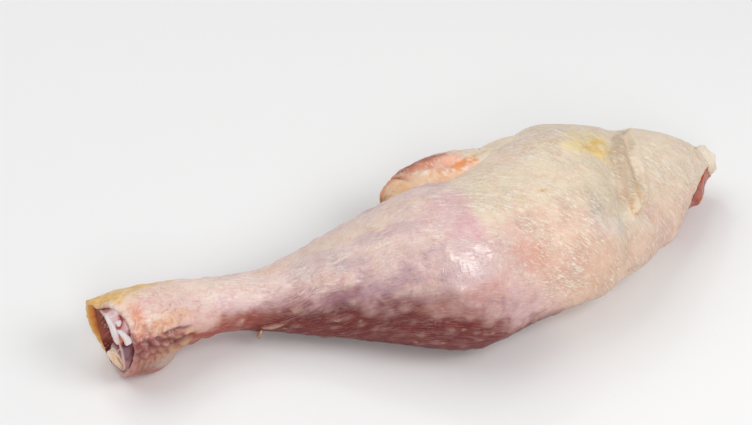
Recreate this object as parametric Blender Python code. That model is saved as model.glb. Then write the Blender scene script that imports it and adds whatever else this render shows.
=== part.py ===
"""A raw chicken leg with its skin on: drumstick and thigh in one piece, the foot cut off at the hock.

Lengths are in millimetres until a mesh is made. X runs along the leg from the hock to the hip, the
leg lies on its inner side with the skin side up (+Z), and the knee bends towards -Y.
"""

import bpy
import bmesh
import numpy as np
from mathutils import Vector

MM = 0.001

# Driving dimensions
SKIN_THICKNESS = 2.0
FIT_GAP = 0.4
HIP_TIP_X = 129.0
HIP_ROUNDING = 18.0

# The leg's cross-sections from hock to hip: x, near side y, far side y, underside z, top z.
SECTIONS = np.array(
    [
        (-125.0, -13.0, 15.0, 4.0, 31.0),
        (-112.0, -14.5, 16.0, 1.0, 33.0),
        (-101.0, -14.0, 15.5, -0.5, 32.5),
        (-92.0, -9.5, 15.0, 4.0, 29.5),
        (-84.0, -6.5, 14.5, 6.0, 26.5),
        (-72.0, -6.5, 12.5, 5.5, 25.0),
        (-58.0, -12.0, 9.5, 3.5, 25.5),
        (-46.0, -19.0, 8.5, 1.5, 31.0),
        (-36.0, -26.5, 7.5, 0.5, 38.0),
        (-26.0, -33.5, 6.5, 0.0, 44.5),
        (-14.0, -43.0, 6.5, -0.5, 51.5),
        (-2.0, -51.5, 5.0, -1.5, 56.5),
        (8.0, -55.0, 6.0, -1.5, 56.0),
        (18.0, -53.0, 8.0, -1.5, 53.5),
        (30.0, -49.5, 13.0, -1.5, 50.0),
        (46.0, -49.0, 22.5, -1.5, 50.0),
        (61.0, -49.0, 32.0, -1.0, 48.5),
        (75.0, -41.5, 30.5, -1.0, 43.5),
        (90.0, -30.5, 26.5, 0.0, 38.0),
        (104.0, -21.0, 21.0, 1.0, 33.0),
        (118.0, -8.5, 14.0, 2.0, 27.0),
        (132.0, -3.0, 8.0, 3.5, 20.0),
    ]
)
SECTION_BLUR = 4.0
SECTION_SQUARENESS = 2.15
WIDEST_HEIGHT = 0.47

# Skin folds on the thigh and at the heel: (x, angle) along the fold, then depth and half-width.
# Angles run round the section in degrees: 0 far side, 90 top, 180 near side, 270 underside.
FOLDS = (
    (((93, 45), (86, 69), (77, 91), (71.5, 106), (68, 122), (66, 145), (65, 170), (66, 195)), 2.6, 3.6),
    (((92, 70), (86, 95), (82, 112), (79.5, 128)), 1.6, 2.6),
    (((-95, 215), (-98, 195), (-103, 180), (-107, 165)), 1.4, 2.4),
    (((-88, 250), (-92, 225), (-96, 205)), 1.2, 2.6),
)
# Soft swellings: (x, angle, height, half-width).
SWELLINGS = (
    (56.0, 72.0, 1.6, 16.0),
    (76.0, 92.0, 1.2, 4.0),
    (101.0, 95.0, 1.5, 14.0),
    (-6.0, 205.0, 1.2, 14.0),
    (-103.0, 245.0, 1.4, 8.0),
)

# Where the skin ends, going round the section: angle, x.
HOCK_RIM = ((0, -118.5), (60, -119.0), (90, -114.5), (120, -109.8), (165, -110.0), (200, -113.0), (270, -116.0))
HIP_RIM = ((0, 123.0), (45, 126.5), (120, 126.5), (160, 121.0), (180, 108.0), (208, 105.5), (270, 102.0), (315, 108.0))
RIM_BLUR = 12.0
RIM_STEP = 0.8

# The hock joint's cut face, and how far the meat at the hip swells out past the skin's rim.
CUT_FACE_X = -117.0
CUT_FACE_HOLLOW = 2.5
BARE_INSET = 0.5
BARE_RAMP = 5.0

# The fatty fold of inner thigh skin that fills the crook of the knee and ends in a free lobe:
# centre x, y, z, half-width, half-thickness.
FLAP = (
    (62.0, 12.0, 22.0, 12.0, 14.0),
    (52.0, 8.0, 22.5, 23.5, 20.5),
    (42.0, 5.0, 21.5, 24.5, 21.0),
    (32.0, 5.5, 22.0, 24.5, 21.5),
    (24.0, 9.5, 22.5, 23.5, 20.0),
    (17.0, 15.0, 21.5, 20.0, 17.0),
    (10.5, 20.5, 20.0, 16.0, 14.0),
    (5.5, 23.8, 18.5, 12.0, 8.0),
)
# The loose tab of skin at the hip tip.
TAB = (
    (121.8, 9.2, 20.0, 1.8, 0.8),
    (125.5, 10.0, 17.2, 3.2, 1.1),
    (130.0, 10.6, 14.0, 3.8, 1.1),
    (133.0, 9.8, 10.4, 3.0, 1.0),
)

# The shin bone, from its cut condyle at the hock to the knee: x, y, z, half-width, half-height.
BONE = (
    (-115.9, -5.7, 10.9, 4.6, 4.4),
    (-115.5, -5.7, 10.9, 4.9, 4.8),
    (-112.0, -4.9, 11.8, 5.3, 5.3),
    (-104.0, -1.5, 14.2, 5.0, 5.2),
    (-92.0, 2.2, 15.8, 4.2, 4.4),
    (-72.0, 2.6, 15.4, 3.8, 4.0),
    (-50.0, -3.8, 17.0, 4.0, 4.2),
    (-25.0, -14.0, 22.0, 5.0, 5.0),
    (-8.0, -22.0, 26.0, 8.0, 7.0),
    (2.0, -25.0, 27.0, 9.5, 8.5),
)

# Cut ends of the white tendons at the hock: points x, y, z along each one, then its half-thickness.
TENDONS = {
    "tendon_long": (
        ((-116.4, -0.4, 28.6), (-116.3, -1.8, 29.4), (-116.2, -3.8, 29.1), (-116.0, -6.2, 27.9), (-115.7, -8.6, 25.6),
         (-115.4, -9.8, 23.6)),
        1.3,
    ),
    "tendon_upper": (
        ((-113.6, -3.8, 26.8), (-113.5, -4.3, 28.5), (-113.5, -4.9, 29.8)),
        0.8,
    ),
    "tendon_stub": (
        ((-113.2, -6.9, 26.2), (-113.1, -8.6, 26.8), (-112.9, -10.2, 25.5), (-112.7, -11.2, 24.0)),
        1.2,
    ),
}

ROUND_STEPS = 40
CORE_ROUND_STEPS = 30

# Colours read from the look of raw chicken: base colour, roughness.
MATERIALS = {
    "raw_skin": ((0.80, 0.60, 0.50, 1.0), 0.38),
    "raw_meat": ((0.50, 0.13, 0.11, 1.0), 0.32),
    "cut_bone": ((0.66, 0.50, 0.40, 1.0), 0.45),
    "tendon": ((0.86, 0.80, 0.78, 1.0), 0.35),
}


def clear_scene():
    for obj in list(bpy.data.objects):
        bpy.data.objects.remove(obj, do_unlink=True)


def new_collection(name):
    collection = bpy.data.collections.new(name)
    bpy.context.scene.collection.children.link(collection)
    return collection


def new_material(name):
    colour, roughness = MATERIALS[name]
    material = bpy.data.materials.new(name)
    material.use_nodes = True
    shader = material.node_tree.nodes["Principled BSDF"]
    shader.inputs["Base Color"].default_value = colour
    shader.inputs["Roughness"].default_value = roughness
    shader.inputs["Metallic"].default_value = 0.0
    return material


# The leg's form


def follow(x, column):
    """A column of SECTIONS at x, blurred so that the outline runs smoothly through the sections."""
    offsets = np.linspace(-2.5, 2.5, 11) * SECTION_BLUR
    weights = np.exp(-0.5 * (offsets / SECTION_BLUR) ** 2)
    weights /= weights.sum()
    known_x, known = SECTIONS[:, 0], SECTIONS[:, column]
    return sum(w * np.interp(x + o, known_x, known) for w, o in zip(weights, offsets))


def rim_x(angle, rim):
    """Where a rim lies at each angle, blurred so that it runs smoothly through its places."""
    known, x = np.array(rim, float).T
    degrees = np.degrees(angle)
    offsets = np.linspace(-2.0, 2.0, 9) * RIM_BLUR
    weights = np.exp(-0.5 * (offsets / RIM_BLUR) ** 2)
    weights /= weights.sum()
    return sum(w * np.interp(degrees + o, known, x, period=360) for w, o in zip(weights, offsets))


def bare_form(x, angle, inset):
    """The leg without folds: a superellipse section, flat where it lies on the table, rounded off at the hip."""
    near, far, low, high = (follow(x, column) for column in range(1, 5))
    past = np.clip(x - (HIP_TIP_X - HIP_ROUNDING), 0.0, HIP_ROUNDING) / HIP_ROUNDING
    close = np.sqrt(np.clip(1.0 - past**2, 0.0, 1.0))
    centre_y = (near + far) / 2
    centre_z = low + (high - low) * WIDEST_HEIGHT
    side, height = np.cos(angle), np.sin(angle)
    power = 2.0 / SECTION_SQUARENESS
    half_width = np.maximum((far - near) / 2 * close - inset, 0.0)
    reach = np.where(height > 0, high - centre_z, centre_z - low)
    half_height = np.maximum(reach * close - inset, 0.0)
    y = centre_y + half_width * np.sign(side) * np.abs(side) ** power
    z = centre_z + half_height * np.sign(height) * np.abs(height) ** power
    return np.stack([x + 0 * y, y, z], axis=-1)


def distance_to_path(points, path):
    """Distance from each point to a path of straight runs."""
    nearest = np.full(points.shape[:-1], np.inf)
    for start, end in zip(path[:-1], path[1:]):
        run = end - start
        share = np.clip((points - start) @ run / (run @ run), 0.0, 1.0)
        gap = np.linalg.norm(points - start - share[..., None] * run, axis=-1)
        nearest = np.minimum(nearest, gap)
    return nearest


def relief(points):
    """Height of the folds and swellings at points of the bare form."""
    height = np.zeros(points.shape[:-1])
    for places, depth, half_width in FOLDS:
        x, degrees = np.array(places, float).T
        path = bare_form(x, np.radians(degrees), 0.0)
        height -= depth * np.exp(-((distance_to_path(points, path) / half_width) ** 2))
    for x, degrees, rise, half_width in SWELLINGS:
        centre = bare_form(np.array(x), np.radians(degrees), 0.0)
        gap = np.linalg.norm(points - centre, axis=-1)
        height += rise * np.exp(-((gap / half_width) ** 2))
    return height


def leg_form(x, angle, inset=0.0):
    """The leg's surface, moved inwards by inset. Its underside is flat on the table."""
    points = bare_form(x, angle, inset)
    outward = np.stack([0 * x + 0 * angle, np.cos(angle) + 0 * x, np.sin(angle) + 0 * x], axis=-1)
    fade = np.clip((HIP_TIP_X - x) / HIP_ROUNDING, 0.0, 1.0) + 0 * angle
    points = points + outward * (relief(bare_form(x, angle, 0.0)) * fade)[..., None]
    points[..., 2] = np.maximum(points[..., 2], inset)
    return points


# Meshes


def angles(steps):
    return np.linspace(0.0, 2 * np.pi, steps, endpoint=False)


def object_from(name, mesh, collection, material=None):
    obj = bpy.data.objects.new(name, mesh)
    collection.objects.link(obj)
    if material:
        mesh.materials.append(material)
    return obj


def loft(name, rings, collection, material=None):
    """A closed solid through rings of points, its two ends filled with a fan about their middle."""
    bm = bmesh.new()
    rows = [[bm.verts.new(Vector(point) * MM) for point in ring] for ring in rings]
    count = len(rows[0])
    for row, following in zip(rows[:-1], rows[1:]):
        for i in range(count):
            j = (i + 1) % count
            bm.faces.new((row[i], row[j], following[j]))
            bm.faces.new((row[i], following[j], following[i]))
    for row, flip in ((rows[0], True), (rows[-1], False)):
        middle = bm.verts.new(sum((v.co for v in row), Vector()) / count)
        for i in range(count):
            j = (i + 1) % count
            corners = (row[j], row[i], middle) if flip else (row[i], row[j], middle)
            bm.faces.new(corners)
    bmesh.ops.recalc_face_normals(bm, faces=bm.faces)
    mesh = bpy.data.meshes.new(name)
    bm.to_mesh(mesh)
    bm.free()
    mesh.shade_smooth()
    return object_from(name, mesh, collection, material)


def rod(name, stations, collection, material=None, grow=0.0, steps=16, round_start=True):
    """A solid with elliptical sections along stations of x, y, z, half-width and half-thickness."""
    stations = np.array(stations, float)
    centres = stations[:, :3]
    along = np.gradient(centres, axis=0)
    along /= np.linalg.norm(along, axis=1, keepdims=True)
    across = np.cross([0.0, 0.0, 1.0], along)
    across /= np.linalg.norm(across, axis=1, keepdims=True)
    upright = np.cross(along, across)
    turn = angles(steps)[:, None]
    rings = []
    for i, centre in enumerate(centres):
        half_width, half_height = stations[i, 3:] + grow
        rings.append(
            centre
            + half_width * np.cos(turn) * across[i]
            + half_height * np.sin(turn) * upright[i]
        )
    if round_start:
        rings = add_round_end(rings, centres[0], -along[0], stations[0, 4] + grow, 0)
    rings = add_round_end(rings, centres[-1], along[-1], stations[-1, 4] + grow, -1)
    return loft(name, rings, collection, material)


def add_round_end(rings, centre, outward, depth, end):
    """Two shrinking rings past one end, so that it closes as a dome."""
    base = rings[end]
    extra = [
        centre + (base - centre) * shrink + outward * depth * reach
        for shrink, reach in ((0.82, 0.55), (0.45, 0.88))
    ]
    return extra[::-1] + rings if end == 0 else rings + extra


def hide_helper(obj):
    obj.hide_render = True
    obj.display_type = "WIRE"


def helper_rod(name, stations, collection, grow=0.0, steps=16):
    helper = rod(name, stations, collection, grow=grow, steps=steps)
    hide_helper(helper)
    return helper


def boolean(obj, other, operation):
    modifier = obj.modifiers.new(f"{operation.title()} {other.name}", "BOOLEAN")
    modifier.operation = operation
    modifier.solver = "EXACT"
    modifier.object = other


def along_leg(start, end, rows):
    return start + (end - start) * np.linspace(0.0, 1.0, rows)


# The pieces


def skin_blank(collection, material):
    """The whole leg as one solid, before its inside is taken out."""
    turn = angles(ROUND_STEPS)
    stops = np.concatenate(
        [along_leg(-122.0, -84.0, 13), along_leg(-80.0, 60.0, 27), along_leg(63.0, 96.0, 11)[:-1]]
        + [along_leg(96.0, HIP_TIP_X - 8.0, 8), HIP_TIP_X - np.array([5.5, 3.2, 1.4, 0.3])]
    )
    return loft("skin", [leg_form(np.array(x), turn) for x in stops], collection, material)


def core_rings(turn, rows, gap):
    """Rings of the leg's inside between the hock rim and the hip rim, gap further in than the skin."""
    hock = rim_x(turn, HOCK_RIM)
    hip = rim_x(turn, HIP_RIM)
    inset = SKIN_THICKNESS + gap
    return [leg_form(hock + (hip - hock) * share, turn, inset) for share in np.linspace(0.0, 1.0, rows)]


def core_cutter(collection):
    """Takes out the skin's inside, and all the skin past its two rims."""
    turn = angles(CORE_ROUND_STEPS)
    outside = -3.0
    hock = rim_x(turn, HOCK_RIM) - RIM_STEP
    hip = rim_x(turn, HIP_RIM) + RIM_STEP
    before = [outward_ring(hock - reach, turn, outside) for reach in (14.0, 0.0)]
    after = [outward_ring(hip + (HIP_TIP_X + 8.0 - hip) * share, turn, outside) for share in (0.0, 0.3, 0.6, 1.0)]
    cutter = loft("core_cutter", before + core_rings(turn, 40, 0.0) + after, collection)
    hide_helper(cutter)
    return cutter


def outward_ring(x, turn, inset):
    """A ring of the form at or past its ends, far enough out to clear the skin blank."""
    inside = np.clip(x, -122.0, HIP_TIP_X - 4.0)
    points = leg_form(inside, turn, inset)
    points[..., 0] = x
    return points


def meat(collection, material):
    """The flesh inside the skin, bare at the hip and at the hock's cut face."""
    turn = angles(CORE_ROUND_STEPS)
    inset = SKIN_THICKNESS + FIT_GAP
    rings = core_rings(turn, 40, FIT_GAP)
    face = leg_form(np.full_like(turn, CUT_FACE_X), turn, inset)
    middle = face.mean(axis=0)
    hollow = np.array([CUT_FACE_HOLLOW, 0.0, 0.0])
    cap = [middle + (face - middle) * share + hollow * (1.0 - share**2) for share in (0.25, 0.6, 0.88)]
    hip = rim_x(turn, HIP_RIM)
    for step in (0.12, 0.35, 0.62, 0.84, 0.96, 0.995):
        x = hip + RIM_STEP + 0.5 + (HIP_TIP_X - RIM_STEP - 0.5 - hip) * step
        ramp = np.clip((x - hip - RIM_STEP - 0.5) / BARE_RAMP, 0.0, 1.0)
        rings.append(leg_form(x, turn, inset + (BARE_INSET - inset) * ramp))
    inner = [ring for ring in rings if (ring[:, 0] > CUT_FACE_X + 0.4).all()]
    return loft("meat", cap + [face] + inner, collection, material)


def tendon_stations(points, half_thickness):
    return [(*point, half_thickness, half_thickness) for point in points]


def rest_on_origin(objects):
    """Moves everything so that the bottom centre of the leg's box is the origin."""
    bpy.context.view_layer.update()
    graph = bpy.context.evaluated_depsgraph_get()
    corners = []
    for obj in objects:
        if obj.hide_render:
            continue
        evaluated = obj.evaluated_get(graph)
        corners += [evaluated.matrix_world @ Vector(corner) for corner in evaluated.bound_box]
    low = Vector(map(min, zip(*corners)))
    high = Vector(map(max, zip(*corners)))
    shift = Vector(((low.x + high.x) / 2, (low.y + high.y) / 2, low.z))
    for obj in objects:
        obj.location -= shift


def main():
    clear_scene()
    leg = new_collection("chicken_leg")
    helpers = new_collection("chicken_leg_cutters")
    materials = {name: new_material(name) for name in MATERIALS}

    skin = skin_blank(leg, materials["raw_skin"])
    boolean(skin, helper_rod("flap_blank", FLAP, helpers), "UNION")
    boolean(skin, core_cutter(helpers), "DIFFERENCE")
    boolean(skin, helper_rod("tab_blank", TAB, helpers), "UNION")

    flesh = meat(leg, materials["raw_meat"])
    rod("bone", BONE, leg, materials["cut_bone"], steps=20, round_start=False)
    boolean(flesh, helper_rod("bone_cutter", BONE, helpers, grow=FIT_GAP, steps=20), "DIFFERENCE")
    for name, (points, half_thickness) in TENDONS.items():
        stations = tendon_stations(points, half_thickness)
        rod(name, stations, leg, materials["tendon"], steps=10)
        channel = helper_rod(f"{name}_cutter", stations, helpers, grow=FIT_GAP, steps=10)
        boolean(flesh, channel, "DIFFERENCE")

    rest_on_origin(list(leg.objects) + list(helpers.objects))


main()
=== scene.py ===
"""Looks for a raw chicken leg: moist skin, bare flesh at the hip, and the cut hock with its bone."""

import math

import bpy
import numpy as np
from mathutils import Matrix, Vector
from mathutils.kdtree import KDTree


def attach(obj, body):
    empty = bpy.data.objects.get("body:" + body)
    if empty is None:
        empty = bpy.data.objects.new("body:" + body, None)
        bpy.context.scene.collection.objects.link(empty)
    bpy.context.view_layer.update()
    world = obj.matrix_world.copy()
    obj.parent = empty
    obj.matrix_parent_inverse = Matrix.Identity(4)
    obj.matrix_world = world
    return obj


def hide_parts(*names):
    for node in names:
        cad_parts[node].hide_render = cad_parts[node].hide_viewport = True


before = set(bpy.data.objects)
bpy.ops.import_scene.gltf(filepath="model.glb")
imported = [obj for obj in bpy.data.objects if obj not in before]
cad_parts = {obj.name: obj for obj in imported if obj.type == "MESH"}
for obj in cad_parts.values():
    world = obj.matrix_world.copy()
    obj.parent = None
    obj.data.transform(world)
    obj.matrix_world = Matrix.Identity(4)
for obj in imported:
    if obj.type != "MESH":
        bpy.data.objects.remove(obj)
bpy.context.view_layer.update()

MM = 0.001
# The row frame's origin, in the millimetres that the leg's form is written in.
ORIGIN = np.array([7.55, -9.898, 0.0])


# ---- The leg's form, with the same named values as the solids ----

SKIN_THICKNESS = 2.0
HIP_TIP_X = 129.0
HIP_ROUNDING = 18.0

# x, near side y, far side y, underside z, top z
SECTIONS = np.array(
    [
        (-125, -13, 15, 4, 31), (-112, -14.5, 16, 1, 33), (-101, -14, 15.5, -0.5, 32.5),
        (-92, -9.5, 15, 4, 29.5), (-84, -6.5, 14.5, 6, 26.5), (-72, -6.5, 12.5, 5.5, 25),
        (-58, -12, 9.5, 3.5, 25.5), (-46, -19, 8.5, 1.5, 31), (-36, -26.5, 7.5, 0.5, 38),
        (-26, -33.5, 6.5, 0, 44.5), (-14, -43, 6.5, -0.5, 51.5), (-2, -51.5, 5, -1.5, 56.5),
        (8, -55, 6, -1.5, 56), (18, -53, 8, -1.5, 53.5), (30, -49.5, 13, -1.5, 50),
        (46, -49, 22.5, -1.5, 50), (61, -49, 32, -1, 48.5), (75, -41.5, 30.5, -1, 43.5),
        (90, -30.5, 26.5, 0, 38), (104, -21, 21, 1, 33), (118, -8.5, 14, 2, 27), (132, -3, 8, 3.5, 20),
    ],
    float,
)
SECTION_BLUR = 4.0
SECTION_SQUARENESS = 2.15
WIDEST_HEIGHT = 0.47

# (x, angle) along each broad fold, then its depth and half-width
FOLDS = (
    (((93, 45), (86, 69), (77, 91), (71.5, 106), (68, 122), (66, 145), (65, 170), (66, 195)), 2.6, 3.6),
    (((92, 70), (86, 95), (82, 112), (79.5, 128)), 1.6, 2.6),
    (((-95, 215), (-98, 195), (-103, 180), (-107, 165)), 1.4, 2.4),
    (((-88, 250), (-92, 225), (-96, 205)), 1.2, 2.6),
)
# Broad swellings and hollows: x, angle, height, half-width
SWELLINGS = (
    (56, 72, 1.6, 16), (76, 92, 1.2, 4), (101, 95, 1.5, 14), (-6, 205, 1.2, 14), (-103, 245, 1.4, 8),
    (-107, 214, -1.8, 7.5), (-118, 72, -2.2, 5), (52, 42, -2.2, 10), (68, 205, -2.2, 9), (94, 200, 1.7, 6),
    (108, 205, -2, 6),
)
# Where the skin ends at the hock and at the hip: angle, x
HOCK_RIM = (
    (0, -118.8), (40, -119.2), (66, -117.8), (88, -115.0), (103, -112.2), (118, -109.8), (140, -110.4),
    (152, -110.6), (168, -109.6), (184, -111.6), (200, -113.0), (240, -113.6), (270, -114.0), (300, -115.0),
    (330, -117.6),
)
HIP_RIM = (
    (0, 123.0), (45, 126.5), (120, 127.0), (148, 124.5), (160, 117.0), (172, 109.5), (182, 104.0),
    (208, 99.5), (270, 98.0), (315, 108.0),
)
RIM_BLUR = 12.0
PATH_STEPS = 6


def bell(distance, width):
    """1 where the distance is 0, falling away smoothly to 0 over about two widths."""
    return np.exp(-((distance / width) ** 2))


def evened(place, known, values, blur, spread, count, period=None):
    """Values read between known places and evened out over blur."""
    offsets = np.linspace(-spread, spread, count) * blur
    weights = np.exp(-0.5 * (offsets / blur) ** 2)
    weights /= weights.sum()
    return sum(w * np.interp(place + o, known, values, period=period) for w, o in zip(weights, offsets))


def follow(x, column):
    """One column of SECTIONS at x."""
    return evened(x, SECTIONS[:, 0], SECTIONS[:, column], SECTION_BLUR, 2.5, 11)


def rim_x(angle, rim):
    """How far along the leg a rim lies, at an angle round it."""
    known, x = np.array(rim, float).T
    return evened(np.degrees(angle), known, x, RIM_BLUR, 2.0, 9, 360)


def bare_form(x, angle, inset=0.0):
    """Points of the leg at x and an angle round its section, before folds and swellings."""
    near, far, low, high = (follow(x, column) for column in range(1, 5))
    past = np.clip(x - (HIP_TIP_X - HIP_ROUNDING), 0.0, HIP_ROUNDING) / HIP_ROUNDING
    close = np.sqrt(np.clip(1.0 - past**2, 0.0, 1.0))
    centre_y = (near + far) / 2
    centre_z = low + (high - low) * WIDEST_HEIGHT
    side, height = np.cos(angle), np.sin(angle)
    power = 2.0 / SECTION_SQUARENESS
    half_width = np.maximum((far - near) / 2 * close - inset, 0.0)
    reach = np.where(height > 0, high - centre_z, centre_z - low)
    half_height = np.maximum(reach * close - inset, 0.0)
    y = centre_y + half_width * np.sign(side) * np.abs(side) ** power
    z = centre_z + half_height * np.sign(height) * np.abs(height) ** power
    return np.stack(np.broadcast_arrays(x, y, z), axis=-1)


def spot(x, degrees):
    """A point of the form, by x and angle."""
    return bare_form(np.array(float(x)), np.radians(float(degrees)))


def distance_to_path(points, path):
    """Distance from points to a path, and how far along the path (0 to 1) the nearest place is."""
    nearest = np.full(points.shape[:-1], np.inf)
    share = np.zeros(points.shape[:-1])
    runs = np.diff(path, axis=0)
    ends = np.concatenate([[0], np.cumsum(np.linalg.norm(runs, axis=1))])
    for i, run in enumerate(runs):
        t = np.clip((points - path[i]) @ run / (run @ run), 0.0, 1.0)
        gap = np.linalg.norm(points - path[i] - t[..., None] * run, axis=-1)
        closer = gap < nearest
        nearest = np.where(closer, gap, nearest)
        share = np.where(closer, (ends[i] + t * np.linalg.norm(run)) / ends[-1], share)
    return nearest, share


def path_on_form(places):
    """A path over the form through (x, angle) places, in PATH_STEPS steps from each place to the next."""
    places = np.array(places, float)
    t = np.linspace(0, len(places) - 1, (len(places) - 1) * PATH_STEPS + 1)
    x, degrees = (np.interp(t, np.arange(len(places)), places[:, k]) for k in (0, 1))
    return bare_form(x, np.radians(degrees))


def relief(points):
    """How far the broad folds and swellings lift each point."""
    height = np.zeros(points.shape[:-1])
    for places, depth, half_width in FOLDS:
        x, degrees = np.array(places, float).T
        gap, _ = distance_to_path(points, bare_form(x, np.radians(degrees)))
        height -= depth * bell(gap, half_width)
    for x, degrees, rise, half_width in SWELLINGS:
        gap = np.linalg.norm(points - spot(x, degrees), axis=-1)
        height += rise * bell(gap, half_width)
    return height


def leg_form(x, angle, inset=0.0):
    """Points of the leg at x and an angle, inset below its surface, none of them under the table."""
    points = bare_form(x, angle, inset)
    outward = np.stack(np.broadcast_arrays(0 * x, np.cos(angle), np.sin(angle)), axis=-1)
    fade = np.clip((HIP_TIP_X - x) / HIP_ROUNDING, 0.0, 1.0)
    points = points + outward * (relief(bare_form(x, angle)) * fade)[..., None]
    points[..., 2] = np.maximum(points[..., 2], inset)
    return points


# ---- Noise and masks ----


# Numbers without common factors, which scatter neighbouring cells.
CELL_PRIMES = np.array([73856093, 19349663, 83492791])
SEED_PRIME = 2654435761
STIRRERS = (2246822519, 3266489917)


def random01(cells, seed):
    """A repeatable random number from 0 to 1 for each integer cell, from a hash of its coordinates."""
    n = (cells.astype(np.int64) * CELL_PRIMES[: cells.shape[-1]]).sum(-1)
    n = (n + seed * SEED_PRIME) & 0xFFFFFFFF
    for shift, stirrer in zip((15, 13, 15, 13), STIRRERS * 2):
        n = ((n ^ (n >> shift)) * stirrer) & 0xFFFFFFFF
    return (n & 0xFFFFFF) / 0xFFFFFF


def noise(points, size, seed):
    """Smooth value noise from -1 to 1, its features about size across."""
    p = np.asarray(points) / size + 100.0
    cell = np.floor(p).astype(np.int64)
    t = p - cell
    t = t * t * t * (t * (t * 6 - 15) + 10)
    total = 0.0
    for corner in range(8):
        step = np.array([corner & 1, corner >> 1 & 1, corner >> 2 & 1])
        weight = np.prod(np.where(step, t, 1 - t), axis=-1)
        total = total + weight * random01(cell + step, seed)
    return total * 2 - 1


def layered(points, size, seed, layers=3):
    """Noise with finer and weaker noise laid over it."""
    total = sum(noise(points, size / 2**k, seed + k) * 0.55**k for k in range(layers))
    return total / sum(0.55**k for k in range(layers))


def ridged(points, size, seed):
    """Noise with sharp crests, and finer crests over them, from 0 to 1."""
    coarse, fine = ((1 - np.abs(noise(points, size / 2**k, seed + k))) ** 2 for k in (0, 1))
    return (coarse + fine * 0.5) / 1.5


def ramp(value, start, end):
    """0 at start, 1 at end, smooth between. start may be above end."""
    t = np.clip((value - start) / (end - start), 0.0, 1.0)
    return t * t * (3 - 2 * t)


def mix(base, other, share):
    """A colour, or a field of colours, changed by a share of the way to another."""
    base = np.asarray(base)
    return base + (np.asarray(other) - base) * np.asarray(share)[..., None]


# The distance between a lattice's rows, as a share of its pitch.
ROW_SPACING = 0.87


def lattice(along, across, pitch, seed, jitter):
    """Distance to the nearest point of a staggered, jittered lattice, and that point's random number."""
    row_pitch = pitch * ROW_SPACING
    row_here = np.floor(across / row_pitch).astype(np.int64)
    nearest = np.full(along.shape, np.inf)
    number = np.zeros(along.shape)
    for row in (row_here - 1, row_here, row_here + 1):
        shift = 0.5 * (row % 2)
        column_here = np.floor(along / pitch - shift).astype(np.int64)
        for column in (column_here - 1, column_here, column_here + 1):
            cell = np.stack([column, row], axis=-1)
            a = (column + shift + 0.5 + (random01(cell, seed) - 0.5) * 2 * jitter) * pitch
            b = (row + 0.5 + (random01(cell, seed + 1) - 0.5) * 2 * jitter) * pitch * ROW_SPACING
            gap = np.hypot(along - a, across - b)
            closer = gap < nearest
            nearest = np.where(closer, gap, nearest)
            number = np.where(closer, random01(cell, seed + 2), number)
    return nearest, number


# ---- Meshes ----


def grid_faces(rows, columns, close_rows=False):
    """The quads of a grid of points closed across its columns, as indices, row by row."""
    i = np.arange(rows if close_rows else rows - 1)[:, None]
    j = np.arange(columns)[None, :]
    up, right = (i + 1) % rows, (j + 1) % columns
    corners = [i * columns + j, i * columns + right, up * columns + right, up * columns + j]
    return np.stack(np.broadcast_arrays(*corners), axis=-1).reshape(-1, 4)


def mesh_piece(name, points, faces, node, material, attributes):
    """A smooth piece in the row frame from points in form millimetres, riding on the leg."""
    mesh = bpy.data.meshes.new(name)
    flat = points.reshape(-1, 3)
    mesh.from_pydata(((flat - ORIGIN) * MM).tolist(), [], [tuple(f) for f in faces])
    mesh.validate()
    for key, values in attributes.items():
        values = np.asarray(values, np.float32)
        if key == "tint":
            layer = mesh.attributes.new(key, "FLOAT_COLOR", "POINT")
            values = np.concatenate([values.reshape(-1, 3), np.ones((len(flat), 1), np.float32)], axis=1)
            layer.data.foreach_set("color", values.ravel())
        elif values.size == flat.size:
            layer = mesh.attributes.new(key, "FLOAT_VECTOR", "POINT")
            layer.data.foreach_set("vector", values.ravel())
        else:
            layer = mesh.attributes.new(key, "FLOAT", "POINT")
            layer.data.foreach_set("value", values.ravel())
    mesh.shade_smooth()
    mesh.materials.append(material)
    piece = bpy.data.objects.new(name, mesh)
    bpy.context.scene.collection.objects.link(piece)
    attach(piece, "root")
    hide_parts(node)


def fan(row, columns, tip, flip=False):
    """Triangles from one row of a grid to a single point."""
    first = row * columns
    edges = [(first + j, first + (j + 1) % columns) for j in range(columns)]
    return [(b, a, tip) if flip else (a, b, tip) for a, b in edges]


def normals_of(grid):
    """Unit normals of a grid of points closed across its columns, pointing out of the leg."""
    around = np.roll(grid, -1, axis=1) - np.roll(grid, 1, axis=1)
    normal = np.cross(around, np.gradient(grid, axis=0))
    normal /= np.linalg.norm(normal, axis=-1, keepdims=True) + 1e-9
    return normal


# ---- Materials ----


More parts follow.
